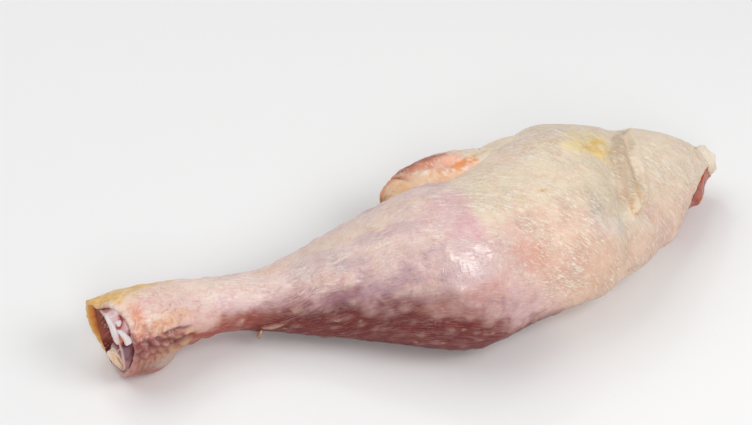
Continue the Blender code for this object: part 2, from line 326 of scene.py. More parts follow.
class Nodes:
    """Short calls for building a material's node tree. Each of them adds a node and gives its output."""

    def __init__(self, name):
        self.material = bpy.data.materials.new(name)
        self.material.use_nodes = True
        self.tree = self.material.node_tree
        self.shader = self.tree.nodes["Principled BSDF"]

    def put(self, socket, value):
        """Links an output to a socket, or sets the socket to a value or a colour."""
        if isinstance(value, bpy.types.NodeSocket):
            self.tree.links.new(value, socket)
        elif socket.type == "RGBA":
            socket.default_value = (*value, 1.0)
        else:
            socket.default_value = value

    def node(self, kind, output, inputs, **settings):
        node = self.tree.nodes.new(kind)
        for key, value in settings.items():
            setattr(node, key, value)
        for key, value in inputs.items():
            self.put(node.inputs[key], value)
        return node.outputs[output]

    def attribute(self, name, output="Fac"):
        return self.node("ShaderNodeAttribute", output, {}, attribute_name=name)

    def place(self):
        return self.node("ShaderNodeTexCoord", "Object", {})

    def scaled(self, vector, scale):
        return self.node("ShaderNodeMapping", "Vector", {"Vector": vector, "Scale": scale})

    def noise(self, vector, scale, detail=2.0, rough=0.5, distortion=0.0):
        inputs = {"Vector": vector, "Scale": scale, "Detail": detail, "Roughness": rough}
        return self.node("ShaderNodeTexNoise", "Fac", {**inputs, "Distortion": distortion})

    def voronoi(self, vector, scale, random):
        inputs = {"Vector": vector, "Scale": scale, "Randomness": random}
        return self.node("ShaderNodeTexVoronoi", "Distance", inputs)

    def range(self, value, low, high, to_low=0.0, to_high=1.0):
        inputs = {"Value": value, "From Min": low, "From Max": high, "To Min": to_low, "To Max": to_high}
        return self.node("ShaderNodeMapRange", "Result", inputs, interpolation_type="SMOOTHSTEP")

    def math(self, operation, a, b, c=0.0):
        return self.node("ShaderNodeMath", "Value", {0: a, 1: b, 2: c}, operation=operation)

    def times(self, a, b):
        return self.math("MULTIPLY", a, b)

    def share(self, value, low, high, mask, strength):
        """How far a value has come from low to high, kept inside a mask and up to a strength."""
        return self.times(self.range(value, low, high), self.times(mask, strength))

    def mix(self, share, a, b, blend="MIX"):
        inputs = {"Factor": share, "A": a, "B": b}
        return self.node("ShaderNodeMix", "Result", inputs, data_type="RGBA", blend_type=blend)

    def shaded(self, share, colour, factor):
        """A colour, multiplied by another over a share of it."""
        return self.mix(share, colour, self.mix(1.0, colour, factor, "MULTIPLY"))

    def bump(self, height, distance, strength, under=None):
        """A normal bent by a height, over the normal under it."""
        inputs = {"Height": height, "Strength": strength, "Distance": distance}
        if under is not None:
            inputs["Normal"] = under
        return self.node("ShaderNodeBump", "Normal", inputs)

    def finish(self, colour, roughness, **values):
        """The material, with its shader's inputs put in place."""
        self.put(self.shader.inputs["Base Color"], colour)
        self.put(self.shader.inputs["Roughness"], roughness)
        for key, value in values.items():
            self.put(self.shader.inputs[key.replace("_", " ")], value)
        return self.material


def skin_material():
    """Moist skin: painted tints, fine strokes along the grain, goose bumps, pores and a thin wet film."""
    m = Nodes("raw_skin_looks")
    place = m.place()
    flow = m.attribute("flow", "Vector")
    tint = m.attribute("tint", "Color")
    papery, mottled, wormy = (m.attribute(name) for name in ("papery", "mottled", "wormy"))
    wet, pores, pleats = (m.attribute(name) for name in ("wet", "pores", "pleats"))
    spot_distance, goose = m.attribute("spot"), m.attribute("goose")

    stroke = m.noise(m.scaled(flow, (1.0, 0.26, 1.0)), 0.85, 4.0, 0.62, 0.9)
    fine = m.noise(m.scaled(flow, (1.0, 0.34, 1.0)), 1.9, 2.0, 0.6, 1.0)
    lines = m.noise(m.scaled(flow, (1.0, 0.10, 1.0)), 1.3, 3.0, 0.65, 0.4)
    crepe = m.noise(m.scaled(flow, (1.0, 0.14, 1.0)), 1.5, 3.0, 0.6, 0.5)
    blotch = m.noise(place, 210.0, 4.0, 0.65, 0.5)
    fat = m.noise(place, 70.0, 3.0, 0.6, 1.0)
    vein = m.noise(place, 300.0, 3.0, 0.6, 1.2)
    grit = m.noise(place, 1300.0, 2.0, 0.6)
    pebble = m.noise(place, 620.0, 2.0, 0.5, 0.6)
    worm = m.noise(place, 240.0, 2.0, 0.5, 2.4)
    papered = m.times(papery, m.range(m.noise(place, 95.0, 2.0, 0.5), 0.36, 0.62, 0.35, 1.0))

    # broad and fine unevenness
    colour = m.shaded(m.range(blotch, 0.38, 0.68, 0.0, 0.60), tint, (0.90, 0.80, 0.80))
    colour = m.shaded(m.range(grit, 0.35, 0.65, 0.0, 0.34), colour, (0.90, 0.84, 0.80))
    # strokes and fat, where the skin is papery
    colour = m.mix(m.share(stroke, 0.53, 0.62, papered, 0.85), colour, (0.97, 0.88, 0.75))
    colour = m.shaded(m.share(stroke, 0.48, 0.34, papered, 0.36), colour, (0.84, 0.70, 0.58))
    colour = m.mix(m.share(fine, 0.55, 0.64, papered, 0.70), colour, (0.95, 0.87, 0.76))
    colour = m.shaded(m.share(fat, 0.50, 0.64, papered, 0.30), colour, (1.0, 0.93, 0.70))
    # blood and fine lines in the drumstick's skin
    colour = m.shaded(m.share(vein, 0.50, 0.68, mottled, 0.36), colour, (0.86, 0.66, 0.70))
    colour = m.mix(m.share(lines, 0.52, 0.62, mottled, 0.10), colour, (0.92, 0.78, 0.70))
    colour = m.shaded(m.share(lines, 0.47, 0.37, mottled, 0.16), colour, (0.86, 0.72, 0.76))
    # beige worm-like wrinkles over the hock
    colour = m.mix(m.share(worm, 0.50, 0.64, wormy, 0.42), colour, (0.88, 0.68, 0.56))
    colour = m.shaded(m.share(worm, 0.47, 0.34, wormy, 0.55), colour, (0.86, 0.60, 0.50))
    # the soft pale middle of each goose bump
    colour = m.mix(m.share(spot_distance, 1.7, 0.1, goose, 0.08), colour, (0.84, 0.62, 0.52))
    # ringed pores in the red patch
    cell = m.voronoi(place, 230.0, 0.75)
    ring = m.times(m.times(m.range(cell, 0.08, 0.14), m.range(cell, 0.27, 0.18)), pores)
    colour = m.mix(m.times(ring, 0.5), colour, (0.94, 0.80, 0.70))
    colour = m.mix(m.share(cell, 0.09, 0.03, pores, 0.6), colour, (0.66, 0.26, 0.18))
    # fine upright pleats near the knee
    pleat = m.noise(m.scaled(place, (1.0, 0.22, 0.22)), 1300.0, 2.0, 0.6, 0.6)
    pleat_line = m.times(m.range(pleat, 0.50, 0.66), pleats)
    colour = m.mix(m.times(pleat_line, 0.32), colour, (0.90, 0.74, 0.70))

    height = m.times(stroke, m.math("MULTIPLY_ADD", papered, 0.9, 0.05))
    normal = m.bump(height, 0.0011, 0.75)
    normal = m.bump(pebble, 0.0008, m.times(papered, 0.7), normal)
    normal = m.bump(fine, 0.0003, 0.5, normal)
    normal = m.bump(crepe, 0.0005, m.times(mottled, 0.6), normal)
    normal = m.bump(grit, 0.00010, 0.4, normal)
    normal = m.bump(ring, 0.00025, 0.7, normal)
    normal = m.bump(pleat_line, 0.0003, 0.7, normal)
    normal = m.bump(worm, 0.0006, m.times(wormy, 0.8), normal)

    # the film of moisture is smoother than the skin, most of all where it is thick
    film = m.bump(height, 0.0007, m.range(wet, 0.75, 1.0, 0.7, 0.12))
    film = m.bump(pleat_line, 0.0003, 0.4, film)
    film = m.bump(fine, 0.0007, m.times(mottled, m.range(wet, 0.6, 0.9, 0.8, 0.0)), film)
    coat_rough = m.math("ADD", m.range(blotch, 0.3, 0.7, 0.06, 0.18), m.range(wet, 0.75, 1.0, 0.0, 0.12))
    return m.finish(
        colour,
        m.math("SUBTRACT", m.range(fine, 0.3, 0.7, 0.36, 0.46), m.times(wet, 0.08)),
        Normal=normal,
        Subsurface_Weight=0.12,
        Subsurface_Radius=(1.0, 0.42, 0.27),
        Subsurface_Scale=0.0018,
        Specular_IOR_Level=0.15,
        Coat_Weight=m.times(m.range(blotch, 0.35, 0.6, 0.75, 1.0), wet),
        Coat_Roughness=coat_rough,
        Coat_Normal=film,
        Coat_IOR=1.75,
    )


def flesh_material(name, bump_scale=700.0, film=0.25, roughness=0.28, grained=0.55, coat=0.35):
    """Bare raw flesh, gristle, bone or tendon: painted tints, a grain, pale membrane and a wet surface."""
    m = Nodes(name)
    place = m.place()
    tint = m.attribute("tint", "Color")
    grain = m.noise(m.scaled(m.attribute("flow", "Vector"), (1.0, 0.16, 1.0)), 0.9, 3.0, 0.6, 0.6)
    blotch = m.noise(place, 330.0, 4.0, 0.6, 0.8)
    colour = m.shaded(m.range(grain, 0.42, 0.64, 0.0, grained), tint, (0.66, 0.48, 0.48))
    colour = m.mix(m.times(m.range(blotch, 0.55, 0.72), film), colour, (0.78, 0.60, 0.58))
    normal = m.bump(grain, 0.0006, grained)
    normal = m.bump(m.noise(place, bump_scale, 3.0, 0.6), 0.0004, 0.4, normal)
    return m.finish(
        colour,
        m.range(blotch, 0.3, 0.7, roughness, roughness + 0.14),
        Normal=normal,
        Subsurface_Weight=0.2,
        Subsurface_Radius=(1.0, 0.3, 0.2),
        Subsurface_Scale=0.0022,
        Specular_IOR_Level=0.15,
        Coat_Weight=coat,
        Coat_Roughness=0.14,
        Coat_Normal=normal,
        Coat_IOR=1.45,
    )


# ---- The skin ----

ROWS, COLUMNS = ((300, 304))

# Pigments, as linear colours.
CREAM = (0.88, 0.75, 0.58)
ROSY_CREAM = (0.76, 0.525, 0.42)
MAUVE_TOP = (0.86, 0.67, 0.62)
MAUVE = (0.84, 0.60, 0.57)
PURPLE = (0.58, 0.37, 0.43)
# the dark red-brown of the drumstick's underside: partly blood, partly painted shade
LOW_RED = (0.17, 0.016, 0.020)
LOW_BROWN = (0.20, 0.030, 0.020)
PALE_SPOT = (0.56, 0.34, 0.29)
SHANK_CREAM = (0.92, 0.76, 0.69)
SHANK_PINK = (0.83, 0.60, 0.64)
YELLOW = (0.82, 0.50, 0.10)
ORANGE = (0.62, 0.26, 0.06)
# the dark red of the shank's underside: partly its own red, partly painted shade
SHANK_LOW = (0.36, 0.062, 0.036)
LINING = (0.42, 0.20, 0.10)

# Where drumstick colour gives way to thigh colour: angle, x.
KNEE_LINE = (
    (-90, 34), (-40, 20), (0, 12), (72, 10), (89, 10.5), (103, 10), (116, 12), (136, 12.5), (147, 14),
    (157, 18), (174, 29), (199, 36), (214, 39), (270, 34),
)
# (x, angle) along each crease, its depth, its half-width, and the height of its lips
CREASES = (
    (
        (
            (90, 60), (86.7, 66), (81.7, 82), (75.7, 96), (72.2, 110), (68.6, 123), (66.6, 138), (65.1, 153),
            (65.1, 172),
        ),
        1.5, 1.1, 0.5,
    ),
    (
        ((96, 52), (93.8, 61), (88.8, 86), (85.2, 99), (83.7, 109), (82.2, 118), (81.2, 127), (80.0, 135)),
        2.0, 1.1, 0.9,
    ),
)
# (x, angle) along each fold over the heel, its depth and half-width
HEEL_FOLDS = (
    (((-111.4, 150), (-106, 161), (-103, 170), (-99, 176), (-93, 180), (-88, 184), (-82, 188)), 1.9, 1.1),
    (((-104, 150), (-100, 161), (-95.5, 172), (-90, 179)), 1.4, 0.9),
    (((-110, 163), (-107, 171), (-105, 180), (-101, 188), (-97, 196)), 1.3, 0.9),
    (((-110.5, 174), (-107, 181), (-102.5, 188)), 0.6, 0.6),
    (((-101, 150), (-96, 157), (-91, 160), (-86, 166)), 0.5, 0.7),
)
# (x, angle) along each hairline streak, its half-width, colour and strength
STREAKS = (
    (((98, 56), (95, 62), (93, 72), (90, 84)), 0.8, (0.84, 0.62, 0.22), 0.6),
    (((44, 68), (48, 66), (53, 64), (58, 64)), 0.7, (0.84, 0.46, 0.14), 0.7),
    (((-87, 172), (-84, 178), (-80, 186)), 0.6, (0.72, 0.44, 0.24), 0.3),
)
# (x, angle) along each lobe of the loose fold, its half-widths and its height at the tip
FOLD_LOBES = (
    (((83, 112), (79.5, 122), (76, 131), (73, 138)), (0.8, 1.7, 1.8, 1.1), 2.1),
    (((84.5, 117), (81.5, 125), (79.2, 131)), (0.8, 2.2, 2.8, 2.6), 2.1),
)
# The grain of the skin: x, then its slope round the leg.
GRAIN = (
    (-130, 0.0), (-10, 0.1), (10, 0.35), (30, 0.9), (50, 1.6), (66, 2.6), (80, 2.2), (95, 1.4), (110, 1.1),
    (135, 0.7),
)
# Distances from bump to bump, in millimetres, and how far each may stray from its place, as a share of that.
GOOSE_PITCH, GOOSE_STRETCH = 6.6, 0.78
FAT_PITCH, THIGH_BUMP_PITCH, PILLOW_PITCH, RIB_PITCH = 9.5, 4.4, 3.3, 2.1
LOOSE, LOOSER = 0.42, 0.45


def turned(angle):
    """Angles in degrees from the top, -180 to 180, growing towards the near side."""
    return (np.degrees(angle) - 90.0 + 180.0) % 360.0 - 180.0


def arc_from_top(grid, angle):
    """Distance round the section from its top, negative on the far side."""
    steps = np.linalg.norm(np.diff(grid, axis=1, append=grid[:, :1]), axis=-1)
    run = np.concatenate([np.zeros((len(grid), 1)), np.cumsum(steps, axis=1)[:, :-1]], axis=1)
    total = steps.sum(axis=1, keepdims=True)
    top = np.argmin(np.abs(turned(angle[0])))
    signed = run - run[:, top : top + 1]
    half = turned(angle)
    signed = np.where((half < 0) & (signed > 0), signed - total, signed)
    return np.where((half > 0) & (signed < 0), signed + total, signed)


def skin_angles(columns):
    """Angles round the section, closer together where the leg shows its top and near side."""
    fine = np.linspace(0, 2 * np.pi, 4001)
    density = 1.0 + 0.5 * np.cos(fine - np.radians(135))
    total = np.concatenate([[0], np.cumsum((density[1:] + density[:-1]) / 2)])
    return np.interp(np.arange(columns) / columns * total[-1], total, fine)


class Sheet:
    """A skin being finished: flat coordinates over it, its tint, and the height of its relief.

    x runs along the leg, arc is the distance round it from its top, and half the angle from its top.
    """

    def __init__(self, points, x, angle):
        self.points, self.x = points, x
        self.half = turned(angle)
        self.arc = arc_from_top(points, angle)
        self.height = np.zeros(x.shape)

    def blot(self, x, degrees, along, around, turn=0.0, ragged=0.35, grain=5.0, seed=0):
        """1 inside an uneven oval patch, 0 outside it. turn swings its length towards the near side."""
        gap = np.linalg.norm(self.points - spot(x, degrees), axis=-1)
        dx, ds = self.x - x, self.arc - self.arc.flat[np.argmin(gap)]
        c, s = math.cos(math.radians(turn)), math.sin(math.radians(turn))
        reach = np.hypot((c * dx + s * ds) / along, (c * ds - s * dx) / around)
        return ramp(reach + ragged * layered(self.points, grain, seed), 1.3, 0.5)

    def marked(self, tint, marks, grain, seed):
        """A tint with marks laid over it, one after another."""
        for k, (*place, colour, strength) in enumerate(marks):
            tint = mix(tint, colour, strength * self.blot(*place, grain, seed + k))
        return tint

    def paint(self, colour, share):
        self.tint = mix(self.tint, colour, share)

    def from_path(self, places, size, seed):
        """Distance from a slightly wandering path through (x, angle) places, and how far along it."""
        path = path_on_form(places)
        path = path + noise(path, size, seed)[:, None] * 0.5
        return distance_to_path(self.points, path)


# Marks on the skin: x, angle, reach along the leg, reach round it, turn, raggedness, colour, strength.
THIGH_MARKS = (
    (50, 72, 17, 10, 10, 0.5, (0.98, 0.90, 0.74), 0.55),
    (28, 166, 16, 6, 10, 0.6, (0.66, 0.42, 0.36), 0.45),
    (66, 190, 11, 8, 0, 0.5, (0.98, 0.82, 0.68), 0.6),
    (19, 134, 9, 13, 20, 0.5, (0.76, 0.49, 0.46), 0.6),
    (46, 160, 18, 14, 20, 0.6, (0.70, 0.45, 0.34), 0.6),
    # broad warm and cool changes of tone
    (45, 85, 30, 14, 20, 0.5, (0.84, 0.70, 0.52), 0.5),
    (50, 175, 30, 16, 0, 0.5, (0.80, 0.54, 0.40), 0.6),
    (92, 148, 16, 12, 20, 0.5, (0.82, 0.60, 0.46), 0.5),
    (112, 120, 12, 10, 0, 0.5, (0.80, 0.64, 0.50), 0.4),
    # the grey-green bruise behind the knee, darkest at one small place
    (58, 124, 13, 10, 25, 0.5, (0.72, 0.64, 0.50), 0.5),
    (55.5, 127, 5.0, 4.2, 70, 0.4, (0.52, 0.48, 0.41), 0.5),
    (54.4, 129, 1.6, 2.6, 80, 0.3, (0.36, 0.33, 0.28), 0.35),
    (57, 139, 9, 5, 20, 0.4, (0.74, 0.60, 0.58), 0.45),
    # yellow fat showing through
    (71, 84, 13, 8, -20, 0.8, (0.96, 0.77, 0.36), 0.75),
    (74, 84, 4.5, 2.0, -22, 1.0, (0.98, 0.64, 0.07), 0.95),
    (69, 89, 5, 1.8, 25, 0.8, (0.88, 0.58, 0.12), 0.85),
    (77, 90, 3.0, 1.6, 30, 0.6, (0.88, 0.60, 0.14), 0.8),
    (66, 70, 4, 1.6, 0, 0.6, (0.86, 0.66, 0.26), 0.5),
    (49.5, 181, 0.8, 1.4, 0, 0.1, (0.84, 0.50, 0.08), 0.9),
    (101, 170, 1.5, 0.7, 30, 0.3, (0.84, 0.50, 0.12), 0.8),
    (64, 158, 1.0, 2.4, 10, 0.5, (0.86, 0.70, 0.32), 0.6),
    (40, 103, 2.2, 0.6, 15, 0.4, (0.86, 0.52, 0.22), 0.8),
    (31, 100, 1.6, 1.0, 10, 0.4, (0.86, 0.70, 0.34), 0.6),
    # pink where blood has settled below the knee line
    (34, 140, 22, 17, 10, 0.5, (0.80, 0.52, 0.42), 0.65),
    (26, 143, 9, 7.5, 30, 0.5, (0.76, 0.40, 0.32), 0.75),
    (33, 160, 8, 7, 30, 0.6, (0.78, 0.46, 0.40), 0.4),
    (83, 150, 7, 5, 30, 0.5, (0.80, 0.50, 0.42), 0.5),
    (43, 62, 20, 8, 10, 0.5, (0.80, 0.58, 0.48), 0.45),
)
DRUM_MARKS = (
    (6, 154, 10, 6, 0, 0.5, (0.70, 0.45, 0.46), 0.5),
    (-3, 150, 8, 5, 0, 0.5, (0.78, 0.56, 0.57), 0.55),
    (16, 134, 12, 13, 20, 0.5, (0.74, 0.45, 0.44), 0.75),
    (7, 116, 9, 10, 20, 0.4, (0.77, 0.49, 0.50), 0.75),
    # cream streaks of fat along the top, and blue-grey shadows between them
    (-32, 84, 16, 4, 6, 0.6, (0.82, 0.68, 0.54), 0.6),
    (-12, 78, 14, 3, 8, 0.6, (0.80, 0.66, 0.54), 0.5),
    (-40, 100, 12, 6, 5, 0.5, (0.62, 0.51, 0.52), 0.5),
    (-18, 100, 10, 3.5, 10, 0.6, (0.58, 0.42, 0.46), 0.5),
    (-14, 118, 8, 3, 10, 0.6, (0.78, 0.60, 0.54), 0.5),
    (-32, 117, 7, 3, 10, 0.6, (0.58, 0.46, 0.52), 0.5),
    (-55, 82, 7, 3, 5, 0.4, (0.86, 0.60, 0.44), 0.5),
    (-6, 79, 2.4, 1.2, 10, 0.5, (0.84, 0.70, 0.40), 0.6),
    (-21, 92, 1.2, 0.5, 10, 0.3, (0.84, 0.66, 0.26), 0.7),
    # rosy skin up to the knee
    (6, 95, 16, 11, 30, 0.5, (0.74, 0.49, 0.50), 0.75),
    (8, 120, 8, 4.0, 55, 0.5, (0.78, 0.44, 0.46), 0.4),
    (2, 135, 13, 7, 10, 0.5, (0.74, 0.56, 0.57), 0.6),
    # bruised violet at mid height, and brown-red under it, partly painted shade of the underside
    (-30, 152, 16, 5, 8, 0.6, (0.42, 0.22, 0.30), 0.55),
    (-52, 140, 9, 5, 8, 0.6, (0.50, 0.26, 0.30), 0.5),
    (18, 154, 6.0, 10, 10, 0.5, (0.70, 0.44, 0.46), 0.7),
    (23, 174, 11, 9.5, 0, 0.5, (0.64, 0.43, 0.43), 0.8),
    (4, 160, 12, 5, 0, 0.6, (0.60, 0.31, 0.26), 0.6),
    (-8, 172, 10, 5, 8, 0.6, (0.46, 0.19, 0.15), 0.5),
    (-62, 168, 13, 6, 0, 0.5, (0.30, 0.09, 0.07), 0.6),
    # dark blood low on the calf, partly painted shade of the underside
    (-43, 168, 9, 4.5, 10, 0.6, (0.15, 0.020, 0.020), 0.7),
    (-37, 150, 7, 3.5, 10, 0.6, (0.30, 0.10, 0.13), 0.6),
    (-24, 183, 12, 5, 5, 0.6, (0.16, 0.026, 0.026), 0.6),
    (-4, 192, 8, 5, 0, 0.6, (0.18, 0.036, 0.036), 0.5),
    (-20, 163, 6, 3.5, 20, 0.6, (0.26, 0.07, 0.08), 0.5),
)
SHANK_MARKS = (
    (-96, 96, 13, 8, 0, 0.5, (0.84, 0.60, 0.50), 0.6),
    (-84, 92, 12, 6, 0, 0.5, (0.86, 0.68, 0.58), 0.6),
    (-88, 128, 9, 5, 0, 0.5, (0.72, 0.50, 0.50), 0.6),
    (-98, 131, 6.5, 6, 20, 0.6, (0.84, 0.60, 0.46), 0.6),
    (-84, 152, 8, 4, 10, 0.6, (0.82, 0.54, 0.46), 0.6),
    (-104, 108, 5, 5, 0, 0.5, (0.82, 0.54, 0.50), 0.6),
    (-98, 112, 6, 4, 0, 0.5, (0.78, 0.50, 0.52), 0.5),
    # membrane along the cut
    (-111.5, 106, 2.2, 5, 0, 0.5, (0.84, 0.64, 0.60), 0.8),
    (-110, 128, 1.2, 7, 0, 0.4, (0.84, 0.66, 0.54), 0.8),
    # raw red next to the cut
    (-107, 118, 2.0, 6, 0, 0.8, (0.80, 0.40, 0.28), 0.6),
    (-107, 138, 3.0, 6, 0, 0.8, (0.76, 0.28, 0.16), 0.75),
    (-103, 146, 7, 3.5, 10, 0.7, (0.72, 0.38, 0.22), 0.7),
    (-93, 142, 7, 2.5, -10, 0.7, (0.80, 0.44, 0.24), 0.6),
    # purple folds over the heel
    (-105, 162, 6, 5, 10, 0.5, (0.48, 0.21, 0.25), 0.8),
    (-98, 173, 9, 5, 0, 0.5, (0.34, 0.11, 0.085), 0.68),
    (-92, 179, 6, 4.0, 0, 0.5, (0.32, 0.09, 0.06), 0.75),
    (-110, 152, 3, 4, 0, 0.5, (0.70, 0.20, 0.12), 0.65),
    (-107, 182, 6, 9, 0, 0.5, (0.30, 0.095, 0.075), 0.65),
    (-109, 199, 5, 6, 0, 0.4, (0.26, 0.090, 0.060), 0.65),
    (-84, 169, 9, 4, 0, 0.5, (0.86, 0.62, 0.56), 0.7),
    (-110.5, 160, 1.6, 5, 0, 0.4, (0.20, 0.05, 0.06), 0.75),
    # scaly brown and beige below
    (-107, 192, 7, 6, 0, 0.4, (0.40, 0.19, 0.13), 0.8),
    (-112, 196, 2, 8, 0, 0.5, (0.50, 0.16, 0.13), 0.7),
    (-95, 198, 7, 8, 0, 0.5, (0.60, 0.40, 0.26), 0.7),
    (-97, 214, 9, 5, 0, 0.4, (0.52, 0.42, 0.36), 0.7),
    (-88.5, 175, 2.2, 1.3, 10, 0.5, (0.74, 0.48, 0.16), 0.7),
)


def drumstick_tint(sheet):
    """Pale mauve on top, mottled lower down, dark and reddish under its near side: partly blood, partly
    painted shade.
    """
    x, down, patch, broad = sheet.x, sheet.down, sheet.patch, sheet.broad
    tint = mix(MAUVE_TOP, MAUVE, ramp(down + broad * 14, 12, 50))
    tint = mix(tint, PURPLE, 0.70 * ramp(patch + 0.25 * broad, 0.05, 0.50) * ramp(down, 0, 40))
    veins = 0.55 * ramp(ridged(sheet.points, 7.0, 15), 0.66, 0.90)
    tint = mix(tint, (0.50, 0.25, 0.30), veins * ramp(down, 20, 50) * ramp(x, -90, -70))
    tint = mix(tint, (0.86, 0.66, 0.60), 0.5 * ramp(-patch - 0.2 * broad, 0.05, 0.5) * ramp(down, 70, 40))
    tint = mix(tint, CREAM, 0.45 * ramp(down, 8, -12) * ramp(x, 0, -30))
    # darker and redder under the near side: partly blood, partly painted shade
    lower = down + broad * 10 + patch * 15 - 16 * ramp(x, 2, 22) - 13 * ramp(x, -9, 4) + 8 * ramp(x, -26, -40)
    tint = mix(tint, mix(LOW_RED, LOW_BROWN, ramp(sheet.small, -0.3, 0.5)), ramp(lower, 48, 92))
    return sheet.marked(tint, DRUM_MARKS, 5.0, 100)


def shank_tint(sheet):
    down, patch = sheet.down, sheet.patch
    tint = mix(SHANK_CREAM, SHANK_PINK, ramp(down + patch * 30, 22, 62))
    # darker and redder lower down: partly its own red, partly painted shade of the underside
    tint = mix(tint, (0.56, 0.30, 0.26), 0.8 * ramp(down + patch * 22, 46, 72))
    tint = mix(tint, SHANK_LOW, 0.95 * ramp(down + patch * 16, 56, 80))
    hocky = 0.7 * ramp(sheet.x, -88, -98)
    tint = mix(tint, (0.46, 0.19, 0.15), hocky * ramp(sheet.half + patch * 14, 48, 70))
    return sheet.marked(tint, SHANK_MARKS, 3.0, 200)


def thigh_tint(sheet):
    tint = mix(CREAM, ROSY_CREAM, ramp(sheet.half + sheet.uneven * 3 + sheet.broad * 14, 42, 88))
    # darker on the thigh's underside, partly painted shade
    tint = mix(tint, (0.62, 0.38, 0.28), 0.7 * ramp(sheet.down, 100, 135))
    tint = mix(tint, (0.86, 0.74, 0.60), 0.5 * ramp(sheet.patch, 0.1, 0.6))
    return sheet.marked(tint, THIGH_MARKS, 4.0, 300)


def paint_skin(sheet):
    """The tint of the whole skin, how far it is thigh rather than drumstick, and the noises used for both."""
    points, x, half = sheet.points, sheet.x, sheet.half
    sheet.uneven = layered(points, 9.0, 11) * 3.0
    sheet.broad = layered(points, 22.0, 12)
    patch = sheet.patch = layered(points, 6.0, 13, 4)
    small = sheet.small = layered(points, 2.6, 14)
    sheet.down = np.where(half > 0, half, -half * 0.8) + sheet.uneven * 2.0

    drum = mix(drumstick_tint(sheet), shank_tint(sheet), ramp(x + sheet.uneven * 2, -58, -78))
    known, where = np.array(KNEE_LINE, float).T
    line = np.interp(half, known - 90, where)
    soft = 3.6 + 7.5 * ramp(half, 18, 52)
    sheet.thigh = ramp(x - line + small * 1.6 + patch * soft * 0.6, -soft, soft)
    sheet.tint = mix(drum, thigh_tint(sheet), sheet.thigh)

    # yellow scales left on the hock's top and far rim
    scales = sheet.blot(-111.5, 62, 11, 11.5, 0, 0.4, 3.0, 51)
    scales = np.maximum(scales, sheet.blot(-101, 56, 13, 6.5, 0, 0.5, 3.0, 54))
    scales = np.maximum(scales, ramp(half, -24, -34) * ramp(x, -102, -112))
    scales = scales * ramp(layered(points, 2.2, 52), -0.85, -0.25)
    yellow = mix(YELLOW, (0.86, 0.66, 0.34), ramp(small, 0.1, 0.6))
    yellow = mix(yellow, ORANGE, np.maximum(0.7 * ramp(half, -40, -60), 0.5 * ramp(patch, 0.1, 0.7)))
    sheet.paint(yellow, 0.95 * scales)


def grain_flow(sheet):
    """Coordinates that run across and along the grain, for its strokes."""
    knots, slopes = np.array(GRAIN, float).T
    fine_x = np.linspace(-130, 135, 531)
    drift = np.concatenate([[0], np.cumsum(np.interp(fine_x[1:], knots, slopes) * 0.5)])
    sway = layered(sheet.points, 14.0, 61, 2) * 2.6
    across = sheet.arc - np.interp(sheet.x, fine_x, drift) + sway
    third = layered(sheet.points, 9.0, 62, 2) * 2.0
    return np.stack([across, sheet.x + 0.6 * sheet.arc + sway, third], axis=-1)


def add_bumps(sheet):
    """Goose bumps and specks of fat on the drumstick, and fine bumps on the thigh."""
    x, arc, down = sheet.x, sheet.arc, sheet.down
    patch, small, thigh = sheet.patch, sheet.small, sheet.thigh
    gap, number = lattice(x, arc * GOOSE_STRETCH, GOOSE_PITCH, 31, LOOSE)
    bumpy = ramp(down, -6, 40) * ramp(x, -100, -82) * (1 - 0.85 * thigh)
    bumpy = bumpy * (0.55 + 0.45 * ramp(patch, -0.4, 0.3))
    goose = ramp(gap + small * 1.1 + patch * 0.8 - 0.8 * number, 2.4, -0.2) * (0.25 + 0.75 * number)
    sheet.height += 0.70 * goose * bumpy
    pale = mix(PALE_SPOT, (0.66, 0.44, 0.30), ramp(small, 0.1, 0.6))
    pale = mix(pale, (0.88, 0.66, 0.58), ramp(down, 84, 40))
    sheet.paint(pale, 0.62 * goose * bumpy * (1 - 0.62 * ramp(down, 74, 112)))

    away, number = lattice(x, arc, FAT_PITCH, 33, LOOSER)
    speck = ramp(away + small * 0.5, 0.9, 0.4) * ramp(number, 0.35, 0.6)
    speck = speck * (1 - thigh) * ramp(down, 10, 40) * ramp(x, -96, -80)
    sheet.height += 0.15 * speck
    sheet.paint((0.80, 0.56, 0.34), 0.35 * speck)

    away, _ = lattice(x + 1.7, arc + 2.2, THIGH_BUMP_PITCH, 35, 0.3)
    sheet.height += 0.16 * ramp(away, 1.7, 0.3) * thigh * ramp(sheet.half, -30, 20)
    return {"spot": gap, "goose": bumpy}


def add_creases(sheet):
    """Two creases with raised lips across the thigh, a red-brown line down each that is partly painted shade,
    and the lined strip between them, darkened with painted shade.
    """
    for places, depth, width, lip in CREASES:
        away, along = sheet.from_path(places, 7.0, 44)
        strength = ramp(along, 0, 0.15) * ramp(along, 1.0, 0.75)
        sheet.height -= depth * bell(away, width) * strength
        sheet.height += lip * bell(away - 2.6, 1.5) * strength
        # a red-brown line down each crease, partly painted shade
        sheet.paint((0.46, 0.22, 0.11), 0.8 * bell(away, 0.75) * strength)
    x, half = sheet.x, sheet.half
    lines = [np.array([(degrees - 90, at) for at, degrees in crease[0]]).T for crease in CREASES]
    first, second = (np.interp(half, *line) for line in lines)
    strip = ramp(x - first, -1.0, 1.5) * ramp(second - x, -0.5, 1.5)
    strip = strip * ramp(half, -34, -20) * ramp(half, 52, 34)
    long_lines = layered(np.stack([x - first, 0.12 * sheet.arc, 0 * x], -1), 1.7, 46, 2)
    sheet.height -= (0.7 + 0.35 * long_lines) * strip
    # painted shade over the strip between the creases
    sheet.paint((0.66, 0.49, 0.33), np.clip(0.75 - 0.35 * long_lines, 0, 1) * strip)


